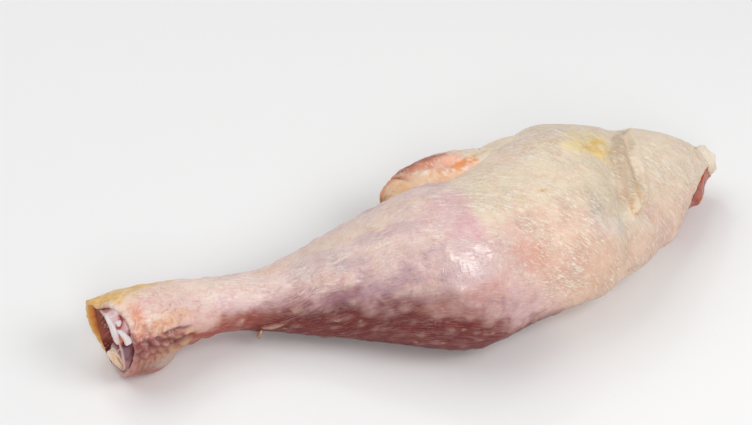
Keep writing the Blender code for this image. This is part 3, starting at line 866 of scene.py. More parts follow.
def add_heel(sheet):
    """Folds over the heel with painted shade in their depths, fine ribs below them, and pillows of skin
    between them.
    """
    x, small = sheet.x, sheet.small
    for places, depth, width in HEEL_FOLDS:
        away, along = sheet.from_path(places, 3.0, 45)
        strength = ramp(along, 0, 0.2) * ramp(along, 1.0, 0.7)
        sheet.height -= depth * bell(away, width) * strength
        sheet.height += 0.35 * depth * bell(away - 2.1 * width, width) * strength
        # painted shade in the depth of each fold
        sheet.paint((0.20, 0.05, 0.05), 0.85 * bell(away, width * 0.8) * strength)
    ribs = np.cos((x + small * 0.5) * 2 * np.pi / RIB_PITCH)
    ribbed = sheet.blot(-106.5, 192, 5.5, 4.2, 0, 0.3, 3.0, 53)
    sheet.height += 0.30 * ribs * ribbed
    # painted shade in the troughs between the ribs
    sheet.paint((0.30, 0.12, 0.08), 0.5 * ribbed * ramp(ribs, 0.2, -0.9))
    sheet.paint((0.62, 0.42, 0.28), 0.4 * ribbed * ramp(ribs, 0.2, 0.9))

    seam, _ = lattice(x + 0.5 * small, sheet.arc, PILLOW_PITCH, 56, LOOSE)
    pillowed = sheet.blot(-105, 168, 8, 7, 0, 0.4, 3.0, 57)
    pillowed = np.maximum(pillowed, 0.7 * sheet.blot(-95, 175, 9, 4, 0, 0.4, 3.0, 58))
    sheet.height += 0.9 * (0.6 - ramp(seam, 0.6, 2.0)) * pillowed
    # painted shade in the seams between the pillows
    sheet.paint((0.22, 0.045, 0.035), 0.75 * ramp(seam, 1.2, 2.1) * pillowed)
    sheet.paint((0.60, 0.33, 0.32), 0.35 * ramp(seam, 1.0, 0.2) * pillowed)


def add_loose_skin(sheet):
    """A loose fold on the thigh with two lobes, a limp scrap under the shank, and hairline streaks."""
    for places, widths, lift in FOLD_LOBES:
        away, along = distance_to_path(sheet.points, path_on_form(places))
        width = np.interp(along, (0, 0.5, 0.85, 1), widths) + 0.25 * sheet.small
        sheet.height += lift * ramp(along, 0.0, 0.8) * ramp(away, width + 0.45, width - 0.45)
        sheet.paint((0.88, 0.76, 0.52), 0.5 * ramp(away, width, width - 0.6) * ramp(along, 0.1, 0.6))
        # painted shadow: an orange-brown line just outside each lobe's edge near its tip
        sheet.paint((0.70, 0.36, 0.13), 0.8 * (bell(away - width - 0.5, 0.4) * ramp(along, 0.55, 0.9)))

    scrap = sheet.blot(-59, 191, 3.4, 1.6, 10, 0.5, 2.0, 55)
    sheet.height += 0.9 * scrap
    sheet.paint((0.62, 0.42, 0.30), 0.6 * scrap)

    for places, width, colour, strength in STREAKS:
        path = path_on_form(places)
        path = path + np.stack([noise(path, 6.0, seed) for seed in (71, 72, 73)], axis=-1) * 0.4
        away, along = distance_to_path(sheet.points, path)
        sheet.paint(colour, strength * (bell(away, width) * ramp(along, 0.0, 0.12) * ramp(along, 1.0, 0.85)))


def skin_masks(sheet, hocky):
    """Where the material shows its strokes, blood, wrinkles, moisture, pores and pleats."""
    x, half, down, thigh = sheet.x, sheet.half, sheet.down, sheet.thigh
    wormy = np.maximum(hocky, 0.55 * ramp(x, -62, -84)) * (1 - 0.6 * ramp(half, 0, -25))
    wet = 0.28 + 0.4 * layered(sheet.points, 12.0, 63, 2) + 0.1 * (1 - thigh)
    wet = wet * (1 - 0.7 * ramp(down, 55, 95))
    wet = wet + 0.8 * sheet.blot(1, 139, 11, 9, 0, 0.4) + 0.6 * sheet.blot(-48, 110, 9, 5)
    pores = sheet.blot(26, 143, 10, 9, 20, 0.3) + 0.7 * sheet.blot(40, 158, 12, 9, 0, 0.3)
    pleats = sheet.blot(16, 138, 9, 10, 0, 0.4) + 0.7 * sheet.blot(-4, 146, 13, 5, 0, 0.4)
    papery = 0.55 + 0.45 * thigh - 0.25 * ramp(x, -68, -90)
    return {
        "papery": papery * (1 - 0.85 * ramp(down, 42, 66) * (1 - thigh)),
        "mottled": (1 - thigh) * (1 - 0.6 * hocky),
        "wormy": wormy * (1 - 0.8 * ramp(half, 58, 76)),
        "wet": np.clip(wet + 0.5 * sheet.blot(-18, 128, 14, 4), 0.05, 1),
        "pores": np.clip(pores, 0, 1),
        "pleats": np.clip(pleats, 0, 1),
    }


# Rows of points over the lining, and those of them that the cut at the hock shows.
LINING_ROWS, CUT_ROWS = 80, 12
# How far through the skin's thickness each row over a rim lies.
RIM_TURNS = (0.12, 0.35, 0.65, 0.88)
# The lining has hardly any of the outer skin's looks.
LINING_MASKS = {"wet": 0.04, "papery": 0.1, "wormy": 0.0, "mottled": 0.0, "goose": 0.0}


def turned_rim(outside, inside, outward):
    """Rows of points that turn from one side of the skin to the other, bulging along the leg."""
    bulge = np.array([0.55 * outward, 0, 0])
    return np.stack([outside * (1 - t) + inside * t + bulge * math.sin(t * math.pi) for t in RIM_TURNS])


def extend(values, inside=None):
    """Carries the outer skin's values over both rims and the lining, which may have its own value instead."""
    last, first = values[-1:], values[:1]
    lining = np.repeat(np.concatenate([last, first]), LINING_ROWS // 2, axis=0)
    if inside is not None:
        lining = np.broadcast_to(inside, lining.shape)
    rim = len(RIM_TURNS)
    return np.concatenate([values, np.repeat(last, rim, axis=0), lining, np.repeat(first, rim, axis=0)])


def paint_cut(tints, grid, depth, angle):
    """The cut skin at the hock: orange over dark red on its far side, the red deepened by painted shade
    further into the cut, and pink on its near side.
    """
    rim = len(RIM_TURNS)
    wall_rows = slice(-rim - CUT_ROWS, -rim)
    far_side = ramp(turned(angle), -5, -35)
    depth_in_cut = depth + 0.9 * layered(grid[wall_rows], 4.0, 426, 3)
    wall = mix((0.92, 0.48, 0.14), (0.82, 0.30, 0.08), ramp(depth_in_cut, 0.9, 1.7))
    # darker deeper into the cut: partly the flesh's own red, partly painted shade
    wall = mix(wall, (0.34, 0.065, 0.035), ramp(depth_in_cut, 1.8, 3.1))
    tints[wall_rows] = mix((0.66, 0.34, 0.30), wall, far_side)
    # along the cut edge: pale pink on the near side, partly painted highlight, and yellow-orange on the far
    # side
    edge = mix((0.80, 0.58, 0.52), (0.88, 0.52, 0.14), far_side)
    tints[-rim:] = mix(tints[-rim:], edge, np.array([0.9, 0.8, 0.5, 0.2])[:, None] * np.ones(len(angle)))


def make_skin():
    """The skin from hock to hip, with both rims and its lining."""
    angle_row = skin_angles(COLUMNS)
    angle = np.broadcast_to(angle_row, (ROWS, COLUMNS))
    rough_edge = np.stack([np.cos(angle_row) * 30, np.sin(angle_row) * 30, 0 * angle_row], axis=-1)
    hock = rim_x(angle_row, HOCK_RIM) + layered(rough_edge, 4.0, 5) * 0.5
    hip = rim_x(angle_row, HIP_RIM) + layered(rough_edge, 5.0, 6) * 0.7
    x = hock + (hip - hock) * np.linspace(0, 1, ROWS)[:, None]
    base = leg_form(x, angle)
    normal = normals_of(base)
    sheet = Sheet(base, x, angle)
    paint_skin(sheet)
    flow = grain_flow(sheet)
    hocky = ramp(x, -84, -96)
    sheet.height += 0.50 * layered(base, 17.0, 21, 2) + 0.20 * layered(base, 6.0, 22, 2)
    sheet.height += hocky * (0.35 * layered(base, 4.2, 23, 3) - 0.10)
    masks = add_bumps(sheet)
    sheet.height += (0.06 + 0.22 * sheet.thigh) * (ridged(flow * np.array([1.0, 0.2, 1.0]), 2.8, 41) - 0.5)
    add_creases(sheet)
    add_heel(sheet)
    add_loose_skin(sheet)
    masks.update(skin_masks(sheet, hocky))

    # it swells into the flap where they meet
    flap, _, _, flap_normal = flap_form()
    beside = (x > -4) & (x < 82) & (sheet.half < 50) & (sheet.half > -150)
    grow, near = np.zeros(base.shape), np.zeros(x.shape)
    flap_surface = Surface(flap, flap_normal)
    grow[beside], near[beside], _ = fillet(base[beside], normal[beside], flap_surface, flap_reach(x[beside]))
    outer = base + normal * (sheet.height * (1 - 0.7 * blurred(near)))[..., None] + blurred(grow)
    outer[..., 2] = np.maximum(outer[..., 2], 0.0)

    inner_x = hock + (hip - hock) * np.linspace(1, 0, LINING_ROWS)[:, None] ** 1.6
    inner = leg_form(inner_x, np.broadcast_to(angle_row, inner_x.shape), SKIN_THICKNESS)
    rims = turned_rim(outer[-1], inner[0], 1), turned_rim(inner[-1], outer[0], -1)
    grid = np.concatenate([outer, rims[0], inner, rims[1]])
    tints = extend(sheet.tint, LINING)
    paint_cut(tints, grid, inner_x[-CUT_ROWS:] - hock, angle_row)
    attributes = {"tint": tints, "flow": extend(flow)}
    attributes.update({key: extend(value, LINING_MASKS.get(key)) for key, value in masks.items()})
    faces = grid_faces(len(grid), COLUMNS, close_rows=True)
    mesh_piece("skin_surface", grid, faces, "skin", SKIN, attributes)
    return Surface(base, normal, sheet.tint)


# ---- The rest of the skin: flap, tab and tag ----


def ring(columns):
    """Even angles once round."""
    return np.linspace(0, 2 * np.pi, columns, endpoint=False)


def smooth_path(stations, count):
    """Rows along a smooth curve through the stations."""
    s = np.array(stations, float)
    t = np.linspace(0, len(s) - 1, count)
    i = np.clip(t.astype(int), 0, len(s) - 2)
    u = (t - i)[:, None]
    padded = np.vstack([2 * s[0] - s[1], s, 2 * s[-1] - s[-2]])
    a, b, c, d = (padded[i + k] for k in range(4))
    return b + 0.5 * u * (c - a + u * (2 * a - 5 * b + 4 * c - d + u * (3 * (b - c) + d - a)))


def tube(stations, rows, columns, caps, facing=(0.0, 0.0, 1.0)):
    """Points of a rod through stations of x, y, z, half-width and half-thickness, closing over caps mm.

    It also gives how far along each point is, and its angle round the rod.
    """
    path = smooth_path(stations, 8 * rows)
    run = np.concatenate([[0], np.cumsum(np.linalg.norm(np.diff(path[:, :3], axis=0), axis=1))])
    share = np.linspace(0, 1, rows)
    share = share - 0.8 * np.sin(2 * np.pi * share) / (2 * np.pi)
    reach = share * run[-1]
    path = np.stack([np.interp(reach, run, path[:, k]) for k in range(5)], axis=1)
    along = np.gradient(path[:, :3], axis=0)
    along /= np.linalg.norm(along, axis=1, keepdims=True)
    across = np.cross(facing, along)
    across /= np.linalg.norm(across, axis=1, keepdims=True)
    upright = np.cross(along, across)
    close = np.ones(rows)
    for distance, cap in ((reach, caps[0]), (run[-1] - reach, caps[1])):
        close = close * np.sqrt(np.clip(1 - (1 - np.clip(distance / cap, 0, 1)) ** 2, 1e-4, 1))
    turn = ring(columns)
    side = (path[:, 3] * close)[:, None] * np.cos(turn)
    rise = (path[:, 4] * close)[:, None] * np.sin(turn)
    grid = path[:, None, :3] + side[..., None] * across[:, None] + rise[..., None] * upright[:, None]
    return grid, np.broadcast_to(reach[:, None], side.shape), np.broadcast_to(turn, side.shape)


def closed_piece(name, grid, node, material, attributes):
    """A piece from rows of closed rings, with a point at each end."""
    rows, columns = grid.shape[:2]
    points = np.vstack([grid.reshape(-1, 3), grid[0].mean(axis=0), grid[-1].mean(axis=0)])
    faces = [tuple(face) for face in grid_faces(rows, columns)]
    faces += fan(0, columns, rows * columns, flip=True)
    faces += fan(rows - 1, columns, rows * columns + 1)
    values = {}
    for key, value in attributes.items():
        flat = np.asarray(value, float).reshape(rows * columns, -1)
        values[key] = np.vstack([flat, flat[:columns].mean(axis=0), flat[-columns:].mean(axis=0)])
    mesh_piece(name, points, faces, node, material, values)


def flow_of(reach, turn, radius):
    """Grain coordinates for a rod: round it and along it."""
    return np.stack([turn * radius, reach, 0 * reach], axis=-1)


# The flap in the crook of the knee, from the thigh to its free lobe: x, y, z, half-width, half-thickness.
FLAP = (
    (64, 12, 22, 12, 14), (52, 8, 22.5, 23, 19.2), (42, 5, 21.5, 24, 19.4), (32, 5.5, 22, 24, 20.3),
    (24, 9.5, 22.5, 23.3, 19.2), (17, 15, 21.5, 20, 17.6), (10, 20.5, 19.5, 15, 14),
    (4, 24.5, 17.5, 10.5, 10), (0, 25.5, 16.5, 8, 9),
)
# The loose tab at the hip tip, in the same form, and the way that its flat side faces.
TAB = (
    (117.6, 0.2, 25.0, 0.7, 0.45), (120.0, 0.6, 23.9, 1.6, 0.45), (122.4, 1.0, 22.5, 2.5, 0.4),
    (124.6, 0.2, 20.6, 2.9, 0.4), (125.8, -0.8, 18.1, 2.6, 0.4), (126.2, -1.8, 15.6, 1.9, 0.4),
    (125.4, -2.8, 13.2, 0.8, 0.4),
)
TAB_FACING = (-0.31, -0.70, 0.64)
# A scrap of skin that hangs off the shank: x, angle, half-width, half-thickness, height over the skin.
TAG = (
    (-62.0, 214, 1.2, 0.7, -0.2), (-62.6, 222, 1.1, 0.8, 0.6), (-63.2, 228, 0.9, 0.7, 1.9),
    (-63.6, 233, 0.5, 0.5, 3.2),
)


class Surface:
    """A smooth grid of points, for finding the nearest place on it."""

    def __init__(self, grid, normal, tint=None):
        self.points, self.normals = grid.reshape(-1, 3), normal.reshape(-1, 3)
        self.tints = None if tint is None else tint.reshape(-1, 3)
        tree = KDTree(len(self.points))
        for i, point in enumerate(self.points):
            tree.insert(point, i)
        tree.balance()
        self.tree = tree

    def near(self, points):
        """Signed distance from each point to the surface, and the index of the nearest vertex."""
        flat = points.reshape(-1, 3)
        index = np.array([self.tree.find(Vector(point))[1] for point in flat])
        gap = ((flat - self.points[index]) * self.normals[index]).sum(-1)
        return gap.reshape(points.shape[:-1]), index.reshape(points.shape[:-1])


def fillet(points, normal, surface, reach):
    """How far each point moves where its surface swells into the one beside it, and how near that one is."""
    gap, index = surface.near(points)
    other = surface.normals[index]
    apart = np.sqrt(np.clip(1 - (normal * other).sum(-1), 0, 1))
    h = np.clip(1 - np.abs(gap) / reach, 0, 1)
    slope = (1 - h / 2)[..., None] * normal + (h / 2)[..., None] * other
    rise = apart * h**2 * reach / 4 / np.maximum((slope**2).sum(-1), 0.4)
    return slope * rise[..., None], h, index


BLUR_PASSES = 6


def blurred(values):
    """Evens out a field over a grid closed across its columns, in BLUR_PASSES passes."""
    for _ in range(BLUR_PASSES):
        values = 0.5 * values + 0.25 * (np.roll(values, 1, axis=1) + np.roll(values, -1, axis=1))
        ends = np.concatenate([values[:1], values, values[-1:]])
        values = 0.5 * values + 0.25 * (ends[2:] + ends[:-2])
    return values


def flap_reach(x):
    """How wide the flap's junction with the leg is rounded: tight behind the knee, broad on the thigh."""
    return 3.0 + 10.0 * ramp(x, 16, 34)


def flap_form():
    """The flap's points, how far along and round it they lie, and their normals."""
    grid, reach, turn = tube(FLAP, 170, 150, (6.0, 7.0))
    return grid, reach, turn, normals_of(grid)


def plain_skin(shape, **masks):
    """The skin's masks for a small piece of it: none but those given."""
    values = dict.fromkeys(("papery", "mottled", "wormy", "wet", "pores", "goose", "pleats"), 0.0)
    values.update(masks, spot=9.0)
    return {key: np.full(shape, value) for key, value in values.items()}


def flap_tint(x, degrees, below, rags, patch, small):
    """Pink-orange fat with cream towards the leg, painted shade below its rolled lip, and a browner free
    lobe, partly painted shade.
    """
    tint = mix((0.98, 0.58, 0.43), (0.99, 0.70, 0.53), ramp(patch, -0.2, 0.5))
    tint = mix(tint, (0.94, 0.48, 0.32), 0.45 * ramp(below, 34, 16) * ramp(x, 30, 14))
    # cream towards the drumstick and the thigh, with orange rags between
    tint = mix(tint, (0.96, 0.70, 0.46), 0.7 * ramp(below, 16, 34) * ramp(x, 30, 18))
    tint = mix(tint, CREAM, ramp(x + patch * 5 - 0.08 * (90 - degrees), 24, 33))
    ragged = ramp(rags, 0.10, 0.32) * ramp(x, 7, 11) * ramp(x, 38, 28) * ramp(below, 8, 18)
    tint = mix(tint, (1.0, 0.90, 0.80), 0.8 * ragged)
    streak = ramp(-rags, 0.10, 0.35) * ramp(x, 9, 13) * ramp(x, 30, 22) * ramp(below, 14, 24)
    tint = mix(tint, (0.92, 0.46, 0.20), 0.55 * streak)
    orange = np.hypot((x - 24.5) / 5.0, (degrees - 90 - 1.6 * (x - 24.5)) / 5.0) + 0.7 * small + 0.9 * rags
    tint = mix(tint, (0.93, 0.37, 0.11), 0.92 * ramp(orange, 1.05, 0.88))
    dash = np.hypot((x - 33.5) / 5.0, (degrees - 105.5 - 0.6 * (x - 33.5)) / 2.2) + 0.3 * small
    tint = mix(tint, (0.84, 0.50, 0.14), 0.8 * ramp(dash, 1.2, 0.6))
    # painted shade just below the crest of the rolled lip, darkest close to it
    rolled = ramp(x, 6.0, 7.5) * ramp(x, 29, 18) * ramp(below, -20, -6)
    tint = mix(tint, (0.58, 0.21, 0.12), 0.8 * ramp(below + patch * 4, 24, 7) * ramp(x, 26, 14) * rolled)
    rim = ramp(below + small * 2 + 0.25 * np.maximum(x - 12, 0), 8, 2)
    tint = mix(tint, (0.34, 0.065, 0.035), 0.9 * rim * rolled)
    # the free lobe at its end, darker over its upper face and its end: partly painted shade
    lobed = mix((1.0, 0.64, 0.37), (0.84, 0.36, 0.18), ramp(degrees + small * 6, 80, 108))
    lobed = mix(lobed, (0.62, 0.22, 0.07), 0.85 * ramp(x + small * 0.4, 0.9, -0.3))
    return mix(tint, lobed, 0.95 * ramp(x, 7.6, 5.2))


def make_flap(leg):
    grid, reach, turn, normal = flap_form()
    x, degrees = grid[..., 0], np.degrees(turn)
    crest = np.interp(x, (0, 12, 17, 24, 50), (104, 106, 107, 110, 104))
    below = crest - degrees
    lip = ramp(below, 12, 4) * ramp(x, 7, 10) * ramp(x, 34, 22)
    notch = bell(x - 6.0 + 0.045 * (degrees - 90), 0.8) * ramp(degrees, 66, 92) * ramp(degrees, 200, 150)
    patch, small = layered(grid, 5.0, 403, 4), layered(grid, 2.0, 404)
    round_it = turn * 20
    torn = np.stack([0.85 * (x - round_it), 0.25 * (x + round_it), 0.1 * grid[..., 1]], -1)
    rags = layered(torn, 1.7, 405, 4)
    height = 0.5 * lip - 0.9 * notch + 0.45 * layered(grid, 7.0, 401) + 0.5 * rags
    height -= 0.9 * bell(below - 15, 5) * ramp(x, 8, 12) * ramp(x, 30, 20)
    grow, near, index = fillet(grid, normal, leg, flap_reach(x))
    height = height * (1 - ramp(near, 0.3, 0.9))
    points = grid + normal * height[..., None] + blurred(grow)
    points[..., 2] = np.maximum(points[..., 2], 0.3)

    tint = flap_tint(x, degrees, below, rags, patch, small)
    # painted shade in the notch
    tint = mix(tint, (0.30, 0.08, 0.05), 0.8 * notch)
    # where it lies out of sight, pink skin over fat
    away = ramp(degrees, 150, 185) * ramp(degrees, 355, 320)
    tint = mix(tint, mix((0.80, 0.56, 0.44), (0.76, 0.46, 0.38), ramp(patch, -0.2, 0.4)), away)
    tint = mix(tint, leg.tints[index], ramp(near, 0.1, 0.7) * ramp(x, 30, 44))
    flow = np.stack([turn * 14 - reach * 0.8, reach + turn * 10, 0 * reach], axis=-1)
    masks = plain_skin(reach.shape, papery=0.5, mottled=0.2, wet=0.08)
    closed_piece("skin_flap", points, "skin", SKIN, {"tint": tint, "flow": flow, **masks})


def make_tab():
    grid, reach, turn = tube(TAB, 110, 80, (1.0, 1.0), TAB_FACING)
    across = np.cos(turn)
    middle = grid.mean(axis=1, keepdims=True)
    edge = np.stack([reach, 5 * np.sign(across), 0 * reach], -1)
    ragged = 1 + 0.32 * layered(edge, 2.6, 412, 3) * np.abs(across)
    points = middle + (grid - middle) * ragged[..., None]
    points[..., 2] += 0.35 * np.sin(reach * 1.1 + across * 2.0) + 0.4 * layered(grid, 3.0, 411)
    points = points + normals_of(grid) * 0.14 * layered(grid, 1.4, 413)[..., None]
    patch = layered(grid, 2.6, 414)
    tint = mix((0.88, 0.78, 0.64), (0.86, 0.68, 0.48), ramp(patch, 0.0, 0.5))
    tint = mix(tint, (0.84, 0.50, 0.20), 0.75 * ramp(reach, 3.4, 1.6) * ramp(patch, -0.5, 0.1))
    values = {"tint": tint, "flow": flow_of(reach, turn, 4.0), **plain_skin(reach.shape, wet=1.0, papery=0.7)}
    closed_piece("skin_tab", points, "skin", SKIN, values)


def make_tag():
    stations = []
    for x, degrees, half_width, half_thickness, lift in TAG:
        angle = math.radians(degrees)
        place = leg_form(np.array(float(x)), np.array(angle))
        outward = np.array([0.0, math.cos(angle), math.sin(angle)])
        stations.append((*(place + outward * lift), half_width, half_thickness))
    grid, reach, turn = tube(stations, 60, 44, (0.8, 1.2))
    points = grid + normals_of(grid) * (0.22 * layered(grid, 2.0, 460, 3))[..., None]
    points[..., 2] = np.maximum(points[..., 2], 0.1)
    tint = mix((0.42, 0.24, 0.14), (0.80, 0.60, 0.42), 0.6 * ramp(layered(grid, 1.6, 465), 0.0, 0.5))
    shade = np.maximum(ramp(np.sin(turn), -0.2, -0.8), ramp(reach / reach.max(), 0.86, 1.0))
    tint = mix(tint, (0.24, 0.11, 0.06), 0.7 * shade)
    values = {"tint": tint, "flow": flow_of(reach, turn, 1.5), **plain_skin(reach.shape, wet=0.9, papery=0.4)}
    closed_piece("shank_tag", points, "skin", SKIN, values)


# ---- Flesh, bone and tendons ----

# How far bare flesh lies below the leg's form, and how soon past the skin's rim it gets there.
BARE_INSET = 0.5
BARE_RAMP = 2.5
# The flesh at the hock stays this far over the table.
HOCK_FLOOR = 2.2
# Where the ridge round the cut face lies: angle, x. It is set back on the far side, behind the skin's wall.
RIDGE = (
    (0, -115.8), (50, -116.2), (75, -117.0), (92, -117.4), (120, -116.7), (138, -115.6), (155, -114.9),
    (240, -114.9), (270, -115.4), (315, -115.8),
)
FACE_HOLLOW = 5.0
# Marks on the flesh between the ridge and the skin, in the same form as those on the skin.
HOCK_MARKS = (
    # dark purple-red gristle, partly painted shade, then a painted lilac highlight on it
    (-113.4, 172, 5.0, 10.0, 0, 0.3, (0.16, 0.045, 0.055), 0.97),
    (-113.2, 168, 1.4, 2.4, 0, 0.3, (0.30, 0.21, 0.26), 0.6),
    (-113.8, 198, 3.6, 5.0, 0, 0.3, (0.42, 0.21, 0.21), 0.85),
    (-114.0, 104, 3.0, 3.2, 0, 0.5, (0.84, 0.66, 0.66), 0.85),
    (-112.4, 128, 1.4, 3.4, 0, 0.4, (0.78, 0.50, 0.50), 0.8),
    (-112.8, 115, 1.2, 2.0, 20, 0.6, (0.40, 0.04, 0.03), 0.95),
    (-113.8, 122, 0.8, 2.0, 20, 0.6, (0.46, 0.06, 0.05), 0.8),
    (-114.4, 143, 1.4, 2.6, 0, 0.4, (0.70, 0.24, 0.13), 0.95),
    # painted shade in a small dent at the gristle's top
    (-112.6, 153, 2.2, 1.2, 0, 0.4, (0.14, 0.03, 0.05), 0.9),
    # a dark red crease next to the skin, partly painted shade
    (-110.6, 172, 0.9, 9.0, 0, 0.3, (0.30, 0.06, 0.07), 0.8),
)


def flesh_flow(grid):
    """Grain coordinates for flesh: across its fibres and along them."""
    x, y, z = np.moveaxis(grid, -1, 0)
    return np.stack([y + z * 0.4, x * 0.6 + z * 0.9, 0 * x], axis=-1)


def hock_face(rim, around):
    """The hollow cut face inside its rim, with torn sheets of membrane down it: points and tint."""
    middle = rim.mean(axis=0)
    share = np.linspace(0.02, 1.0, 70)[:, None]
    grid = middle + (rim - middle) * share[..., None]
    from_bone = np.hypot(grid[..., 1] - BONE[0][1], grid[..., 2] - BONE[0][2])
    open_part = ramp(from_bone, 6.6, 10.5)
    grid[..., 0] += FACE_HOLLOW * (1 - share**2.4) * open_part + 3.0 * ramp(from_bone, 6.2, 5.5)
    fibre = np.stack([grid[..., 1] + grid[..., 2] * 0.42, grid[..., 2] * 0.16, 0 * grid[..., 1]], axis=-1)
    strands = ridged(fibre, 1.3, 421)
    grid[..., 0] -= (strands - 0.5) * 2.6 * ramp(share, 1.0, 0.8) * open_part
    grid[..., 0] -= 0.5 * bell(share - 0.96, 0.04) * open_part
    grid[..., 2] = np.maximum(grid[..., 2], HOCK_FLOOR)

    tint = mix((0.16, 0.012, 0.016), (0.40, 0.07, 0.075), ramp(layered(grid, 3.2, 424, 4), -0.3, 0.5))
    tint = mix(tint, (0.82, 0.54, 0.52), 0.8 * ramp(strands, 0.66, 0.80))
    tint = mix(tint, (0.50, 0.36, 0.24), 0.4 * ramp(layered(grid, 1.4, 425), 0.3, 0.6))
    tint = mix(tint, (0.60, 0.42, 0.41), 0.8 * ramp(from_bone, 8.0, 6.2))
    tint = mix(tint, (0.72, 0.52, 0.50), 0.85 * ramp(share, 0.86, 0.97) * ramp(around, -15, 5))
    browned = 0.8 * ramp(share, 0.7, 0.95) * ramp(around, -10, -30) * ramp(around, -150, -120)
    return grid, mix(tint, (0.34, 0.12, 0.06), browned)


def hock_side(ridge, turn, inset):
    """Smooth gristle beside the cut face, from its ridge back under the skin: points and tint."""
    x = np.linspace(0, 1, 46)[:, None] ** 1.2 * (-97 - ridge) + ridge
    angle = np.broadcast_to(turn, x.shape)
    flush = ramp(x, ridge + 2.0, ridge + 4.5) * ramp(turned(turn), -10, 10) * ramp(turned(turn), 62, 50)
    grid = leg_form(x, angle, inset - 1.6 * flush)
    sheet = Sheet(grid, x, angle)
    swell = 0.9 * sheet.blot(-113.6, 172, 3.6, 7.5, 0, 0.2) - 1.2 * sheet.blot(-112.6, 153, 2.4, 1.4, 0, 0.2)
    swell = swell - 1.2 * sheet.blot(-112.8, 116, 1.4, 2.4, 0, 0.3) + 0.25 * layered(grid, 3.0, 427)
    grid = grid + normals_of(grid) * (swell * ramp(x, -108, -110))[..., None]
    grid[..., 2] = np.maximum(grid[..., 2], HOCK_FLOOR)

    tint = mix((0.50, 0.22, 0.21), (0.40, 0.13, 0.12), ramp(layered(grid, 3.2, 424, 4), -0.2, 0.4))
    tint = mix(tint, (0.50, 0.20, 0.12), 0.7 * ramp(sheet.half, -20, -50))
    tint = sheet.marked(tint, HOCK_MARKS, 2.0, 430)
    return grid, mix(tint, (0.72, 0.52, 0.50), 0.8 * ramp(x - ridge, 0.9, 0.2))


def make_hock_flesh():
    turn = ring(220)
    inset = SKIN_THICKNESS + 0.3
    ridge = rim_x(turn, RIDGE)
    face, face_tint = hock_face(leg_form(ridge, turn, inset), turned(turn))
    side, side_tint = hock_side(ridge, turn, inset)
    grid = np.concatenate([face, side])
    values = {"tint": np.concatenate([face_tint, side_tint]), "flow": flesh_flow(grid) * 0.6}
    closed_piece("hock_flesh", grid, "meat", GRISTLE_LOOKS, values)


def make_meat():
    """The flesh from the shank to its bare end at the hip."""
    turn = ring(200)
    inset = SKIN_THICKNESS - 0.05
    hip = rim_x(turn, HIP_RIM)
    sides = [leg_form(np.full_like(turn, x), turn, inset + 0.9) for x in np.linspace(-104, 92, 80)]
    start = np.minimum(hip - 4, 118.0)
    for step in np.concatenate([np.linspace(0.02, 0.9, 56), np.linspace(0.91, 0.998, 14)]):
        x = start + (HIP_TIP_X - 0.05 - start) * step
        rise = ramp(x, hip + 0.2, hip + 0.2 + BARE_RAMP)
        sides.append(leg_form(x, turn, inset + (BARE_INSET - inset) * rise))
    grid = np.stack(sides)
    x, y, z = np.moveaxis(grid, -1, 0)
    bare = ramp(x, hip + 0.5, hip + 3.0)
    lump = 1.1 * layered(grid, 7.0, 422, 3) - 0.25
    strand = ridged(np.stack([y + z * 0.6, x * 0.3, z * 0.4], -1), 4.0, 423)
    bulge = 2.4 * bell(x - 115, 7) * bell(turned(turn) - 105, 32)
    points = grid + normals_of(grid) * (bare * (lump + bulge + 0.7 * (strand - 0.6)))[..., None]
    points[..., 2] = np.maximum(points[..., 2], 0.35)

    tint = mix((0.30, 0.038, 0.020), (0.52, 0.13, 0.055), ramp(layered(grid, 4.0, 424, 4), -0.3, 0.4))
    film = ramp(layered(np.stack([x, y * 2, z], -1), 6.0, 426, 3) + 0.25 * ramp(z, 8, 14), 0.05, 0.4) * bare
    tint = mix(tint, (0.48, 0.24, 0.20), 0.5 * film)
    tint = mix(tint, (0.16, 0.025, 0.02), 0.8 * ramp(x - hip, 2.4, 0.4) * bare)
    closed_piece("meat_body", points, "meat", FLESH, {"tint": tint, "flow": flesh_flow(grid)})


# The shin bone, from the cut to the knee: x, y, z, half-width, half-thickness.
BONE = (
    (-116.6, -6.5, 10.2, 5.2, 5.7), (-114, -5.6, 10.8, 4.9, 5.2), (-111, -4.3, 12.2, 4.8, 4.9),
    (-104, -1.5, 14.2, 5, 5.2), (-92, 2.2, 15.8, 4.2, 4.4), (-72, 2.6, 15.4, 3.8, 4), (-50, -3.8, 17, 4, 4.2),
    (-25, -14, 22, 5, 5), (-8, -22, 26, 8, 7), (4, -26, 27.5, 8.5, 7.5),
)


def make_bone():
    """The shin bone: a hard ring round porous marrow at the cut, then the shaft to the knee."""
    shaft = tube(BONE, 60, 96, (0.25, 6.0))[0][4:]
    rim = shaft[0]
    middle = rim.mean(axis=0)
    share = np.linspace(0.03, 0.99, 40)[:, None]
    face = middle + (rim - middle) * share[..., None]
    face[..., 0] += 0.2 * ramp(share, 0.90, 0.82) + 0.15 * ramp(share, 0.9, 1.0)
    marrow = ramp(share, 0.90, 0.80) * np.ones(len(rim))
    face[..., 0] += marrow * (0.3 * layered(face, 1.3, 441, 3) + 0.1)
    grid = np.concatenate([face, shaft])
    grid[..., 0] += 0.16 * (BONE[0][1] - grid[..., 1]) * ramp(grid[..., 0], -112.5, -116.4)

    patch = layered(grid, 1.4, 442, 3)
    y, z = grid[..., 1] - BONE[0][1], grid[..., 2] - BONE[0][2]
    slit = bell(y - 0.1 * z + 0.4 * patch, 0.7) * ramp(np.abs(z), 4.2, 2.4)
    core = mix((1.0, 0.66, 0.43), (1.0, 0.80, 0.58), ramp(patch, -0.2, 0.4))
    core = mix(core, (0.36, 0.11, 0.05), 0.85 * slit)
    hard = mix((1.0, 0.86, 0.70), (0.86, 0.62, 0.48), ramp(patch, 0.1, 0.6))
    tint = mix(hard, core, np.concatenate([marrow, np.zeros(shaft.shape[:2])]))
    flow = np.stack([grid[..., 1], grid[..., 2] * 0.8, grid[..., 0]], axis=-1)
    closed_piece("shin_bone", grid, "bone", BONE_LOOKS, {"tint": tint, "flow": flow})


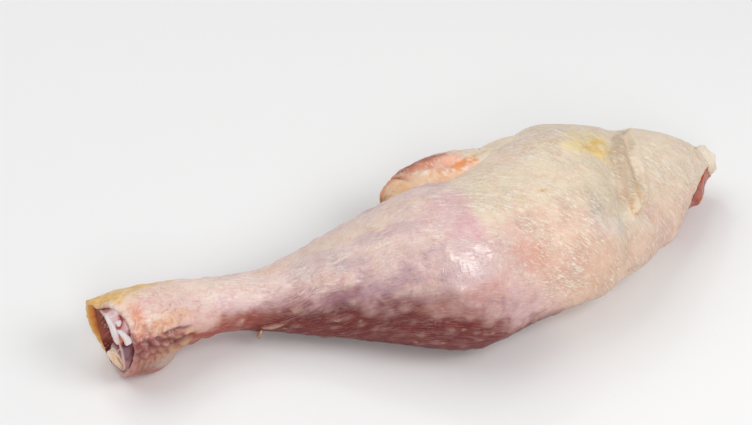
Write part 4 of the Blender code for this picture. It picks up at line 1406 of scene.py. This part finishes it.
# The tendons at the cut face: x, y, z, half-width, half-thickness.
TENDONS = {
    "tendon_long": (
        (-116.6, 0.8, 28.4, 0.4, 0.4), (-116.5, -1.6, 29.6, 0.7, 0.5), (-116.2, -4.0, 29.2, 0.9, 0.6),
        (-115.9, -6.4, 27.9, 1.0, 0.7), (-115.6, -8.6, 25.7, 1.2, 0.8), (-115.4, -9.8, 23.9, 1.0, 0.7),
        (-115.4, -10.2, 22.9, 0.4, 0.4),
    ),
    "tendon_upper": (
        (-113.8, -3.2, 27.6, 0.5, 0.5), (-113.6, -4.4, 28.2, 1.1, 0.6), (-113.4, -5.8, 28.4, 1.2, 0.7),
        (-113.6, -7.0, 27.8, 0.6, 0.5),
    ),
    "tendon_stub": (
        (-114.8, -6.8, 26.0, 0.5, 0.5), (-114.0, -8.4, 26.8, 0.9, 0.6), (-113.0, -10.0, 26.2, 1.3, 0.7),
        (-112.2, -11.2, 24.6, 1.6, 0.7), (-111.9, -11.9, 23.2, 1.3, 0.6),
    ),
}


def make_tendons():
    for k, (node, stations) in enumerate(TENDONS.items()):
        grid, reach, turn = tube(stations, 50, 40, (0.4, 0.3))
        points = grid + normals_of(grid) * (0.34 * layered(grid, 1.7, 451 + k, 3))[..., None]
        patch = layered(grid, 1.8, 455 + k, 3)
        tint = mix((0.76, 0.69, 0.70), (0.76, 0.52, 0.50), 0.8 * ramp(patch, -0.1, 0.4))
        values = {"tint": tint, "flow": flow_of(reach, turn, 1.3)}
        closed_piece(node + "_cord", points, node, TENDON_LOOKS, values)


SKIN = skin_material()
FLESH = flesh_material("raw_meat_looks", film=0.06, coat=0.16)
GRISTLE_LOOKS = flesh_material("gristle_looks", 500.0, 0.05, 0.40, 0.35, 0.06)
BONE_LOOKS = flesh_material("cut_bone_looks", 1800.0, 0.1, 0.5, 0.3, 0.04)
TENDON_LOOKS = flesh_material("tendon_looks", 1200.0, 0.5, 0.3, 0.3, 0.25)

make_flap(make_skin())
make_tab()
make_tag()
make_hock_flesh()
make_meat()
make_bone()
make_tendons()


# ---- Floor, light and camera ----


# Half the floor's width and its distance below the leg, in metres.
FLOOR, FLOOR_GAP = 2.5, 0.0002


def make_floor():
    mesh = bpy.data.meshes.new("floor")
    corners = [(-FLOOR, -FLOOR, 0), (FLOOR, -FLOOR, 0), (FLOOR, FLOOR, 0), (-FLOOR, FLOOR, 0)]
    mesh.from_pydata(corners, [], [(0, 1, 2, 3)])
    floor = bpy.data.objects.new("floor", mesh)
    bpy.context.scene.collection.objects.link(floor)
    m = Nodes("pale_floor")
    speck = m.noise(m.place(), 60.0, 2.0)
    colour = m.mix(m.range(speck, 0.3, 0.7, 0.0, 0.06), (0.90, 0.90, 0.90), (0.86, 0.86, 0.86))
    mesh.materials.append(m.finish(colour, 0.7))
    floor.location.z = -FLOOR_GAP


def area_light(name, direction, distance, size, power):
    light = bpy.data.lights.new(name, "AREA")
    light.shape = "RECTANGLE"
    light.size, light.size_y = size
    light.energy = power
    lamp = bpy.data.objects.new(name, light)
    bpy.context.scene.collection.objects.link(lamp)
    aim = Vector(direction).normalized()
    lamp.location = aim * distance
    lamp.rotation_mode = "QUATERNION"
    lamp.rotation_quaternion = aim.to_track_quat("Z", "Y")


def make_lights():
    area_light("key", (0.42, -0.56, 0.72), 0.9, (0.46, 0.38), 2.9)
    area_light("overhead", (-0.35, 0.45, 1.0), 1.1, (1.1, 0.9), 4.6)
    area_light("sheen", (-0.28, -0.80, 0.56), 1.3, (0.48, 0.44), 4.0)
    area_light("sparkle", (-0.06, 0.62, 0.78), 1.2, (0.12, 0.12), 0.6)
    world = bpy.data.worlds.new("studio")
    world.use_nodes = True
    background = world.node_tree.nodes["Background"]
    background.inputs["Color"].default_value = (1.0, 1.0, 1.0, 1.0)
    background.inputs["Strength"].default_value = 0.35
    bpy.context.scene.world = world
    bpy.context.scene.view_settings.view_transform = "Standard"


# The photograph's viewing angle, and the frame's middle, in the leg's form coordinates.
AZIMUTH, ELEVATION = math.radians(-24.0), math.radians(40.0)
DISTANCE = 800.0
FRAME_WIDTH, PIXELS_PER_MM = 752, 2.7
AIM_RIGHT, AIM_UP = -12.74, 26.74


def make_camera():
    level = math.cos(ELEVATION)
    back = Vector((math.sin(AZIMUTH) * level, -math.cos(AZIMUTH) * level, math.sin(ELEVATION)))
    right = Vector((math.cos(AZIMUTH), math.sin(AZIMUTH), 0.0))
    up = back.cross(right)
    camera = bpy.data.cameras.new("camera")
    camera.sensor_width = 36.0
    camera.lens = DISTANCE * camera.sensor_width * PIXELS_PER_MM / FRAME_WIDTH
    camera.clip_start, camera.clip_end = 0.05, 20.0
    eye = bpy.data.objects.new("camera", camera)
    bpy.context.scene.collection.objects.link(eye)
    aim = right * AIM_RIGHT + up * AIM_UP - Vector(ORIGIN)
    eye.location = (aim + back * DISTANCE) * MM
    eye.rotation_mode = "QUATERNION"
    eye.rotation_quaternion = back.to_track_quat("Z", "Y")
    bpy.context.scene.camera = eye


make_floor()
make_lights()
make_camera()
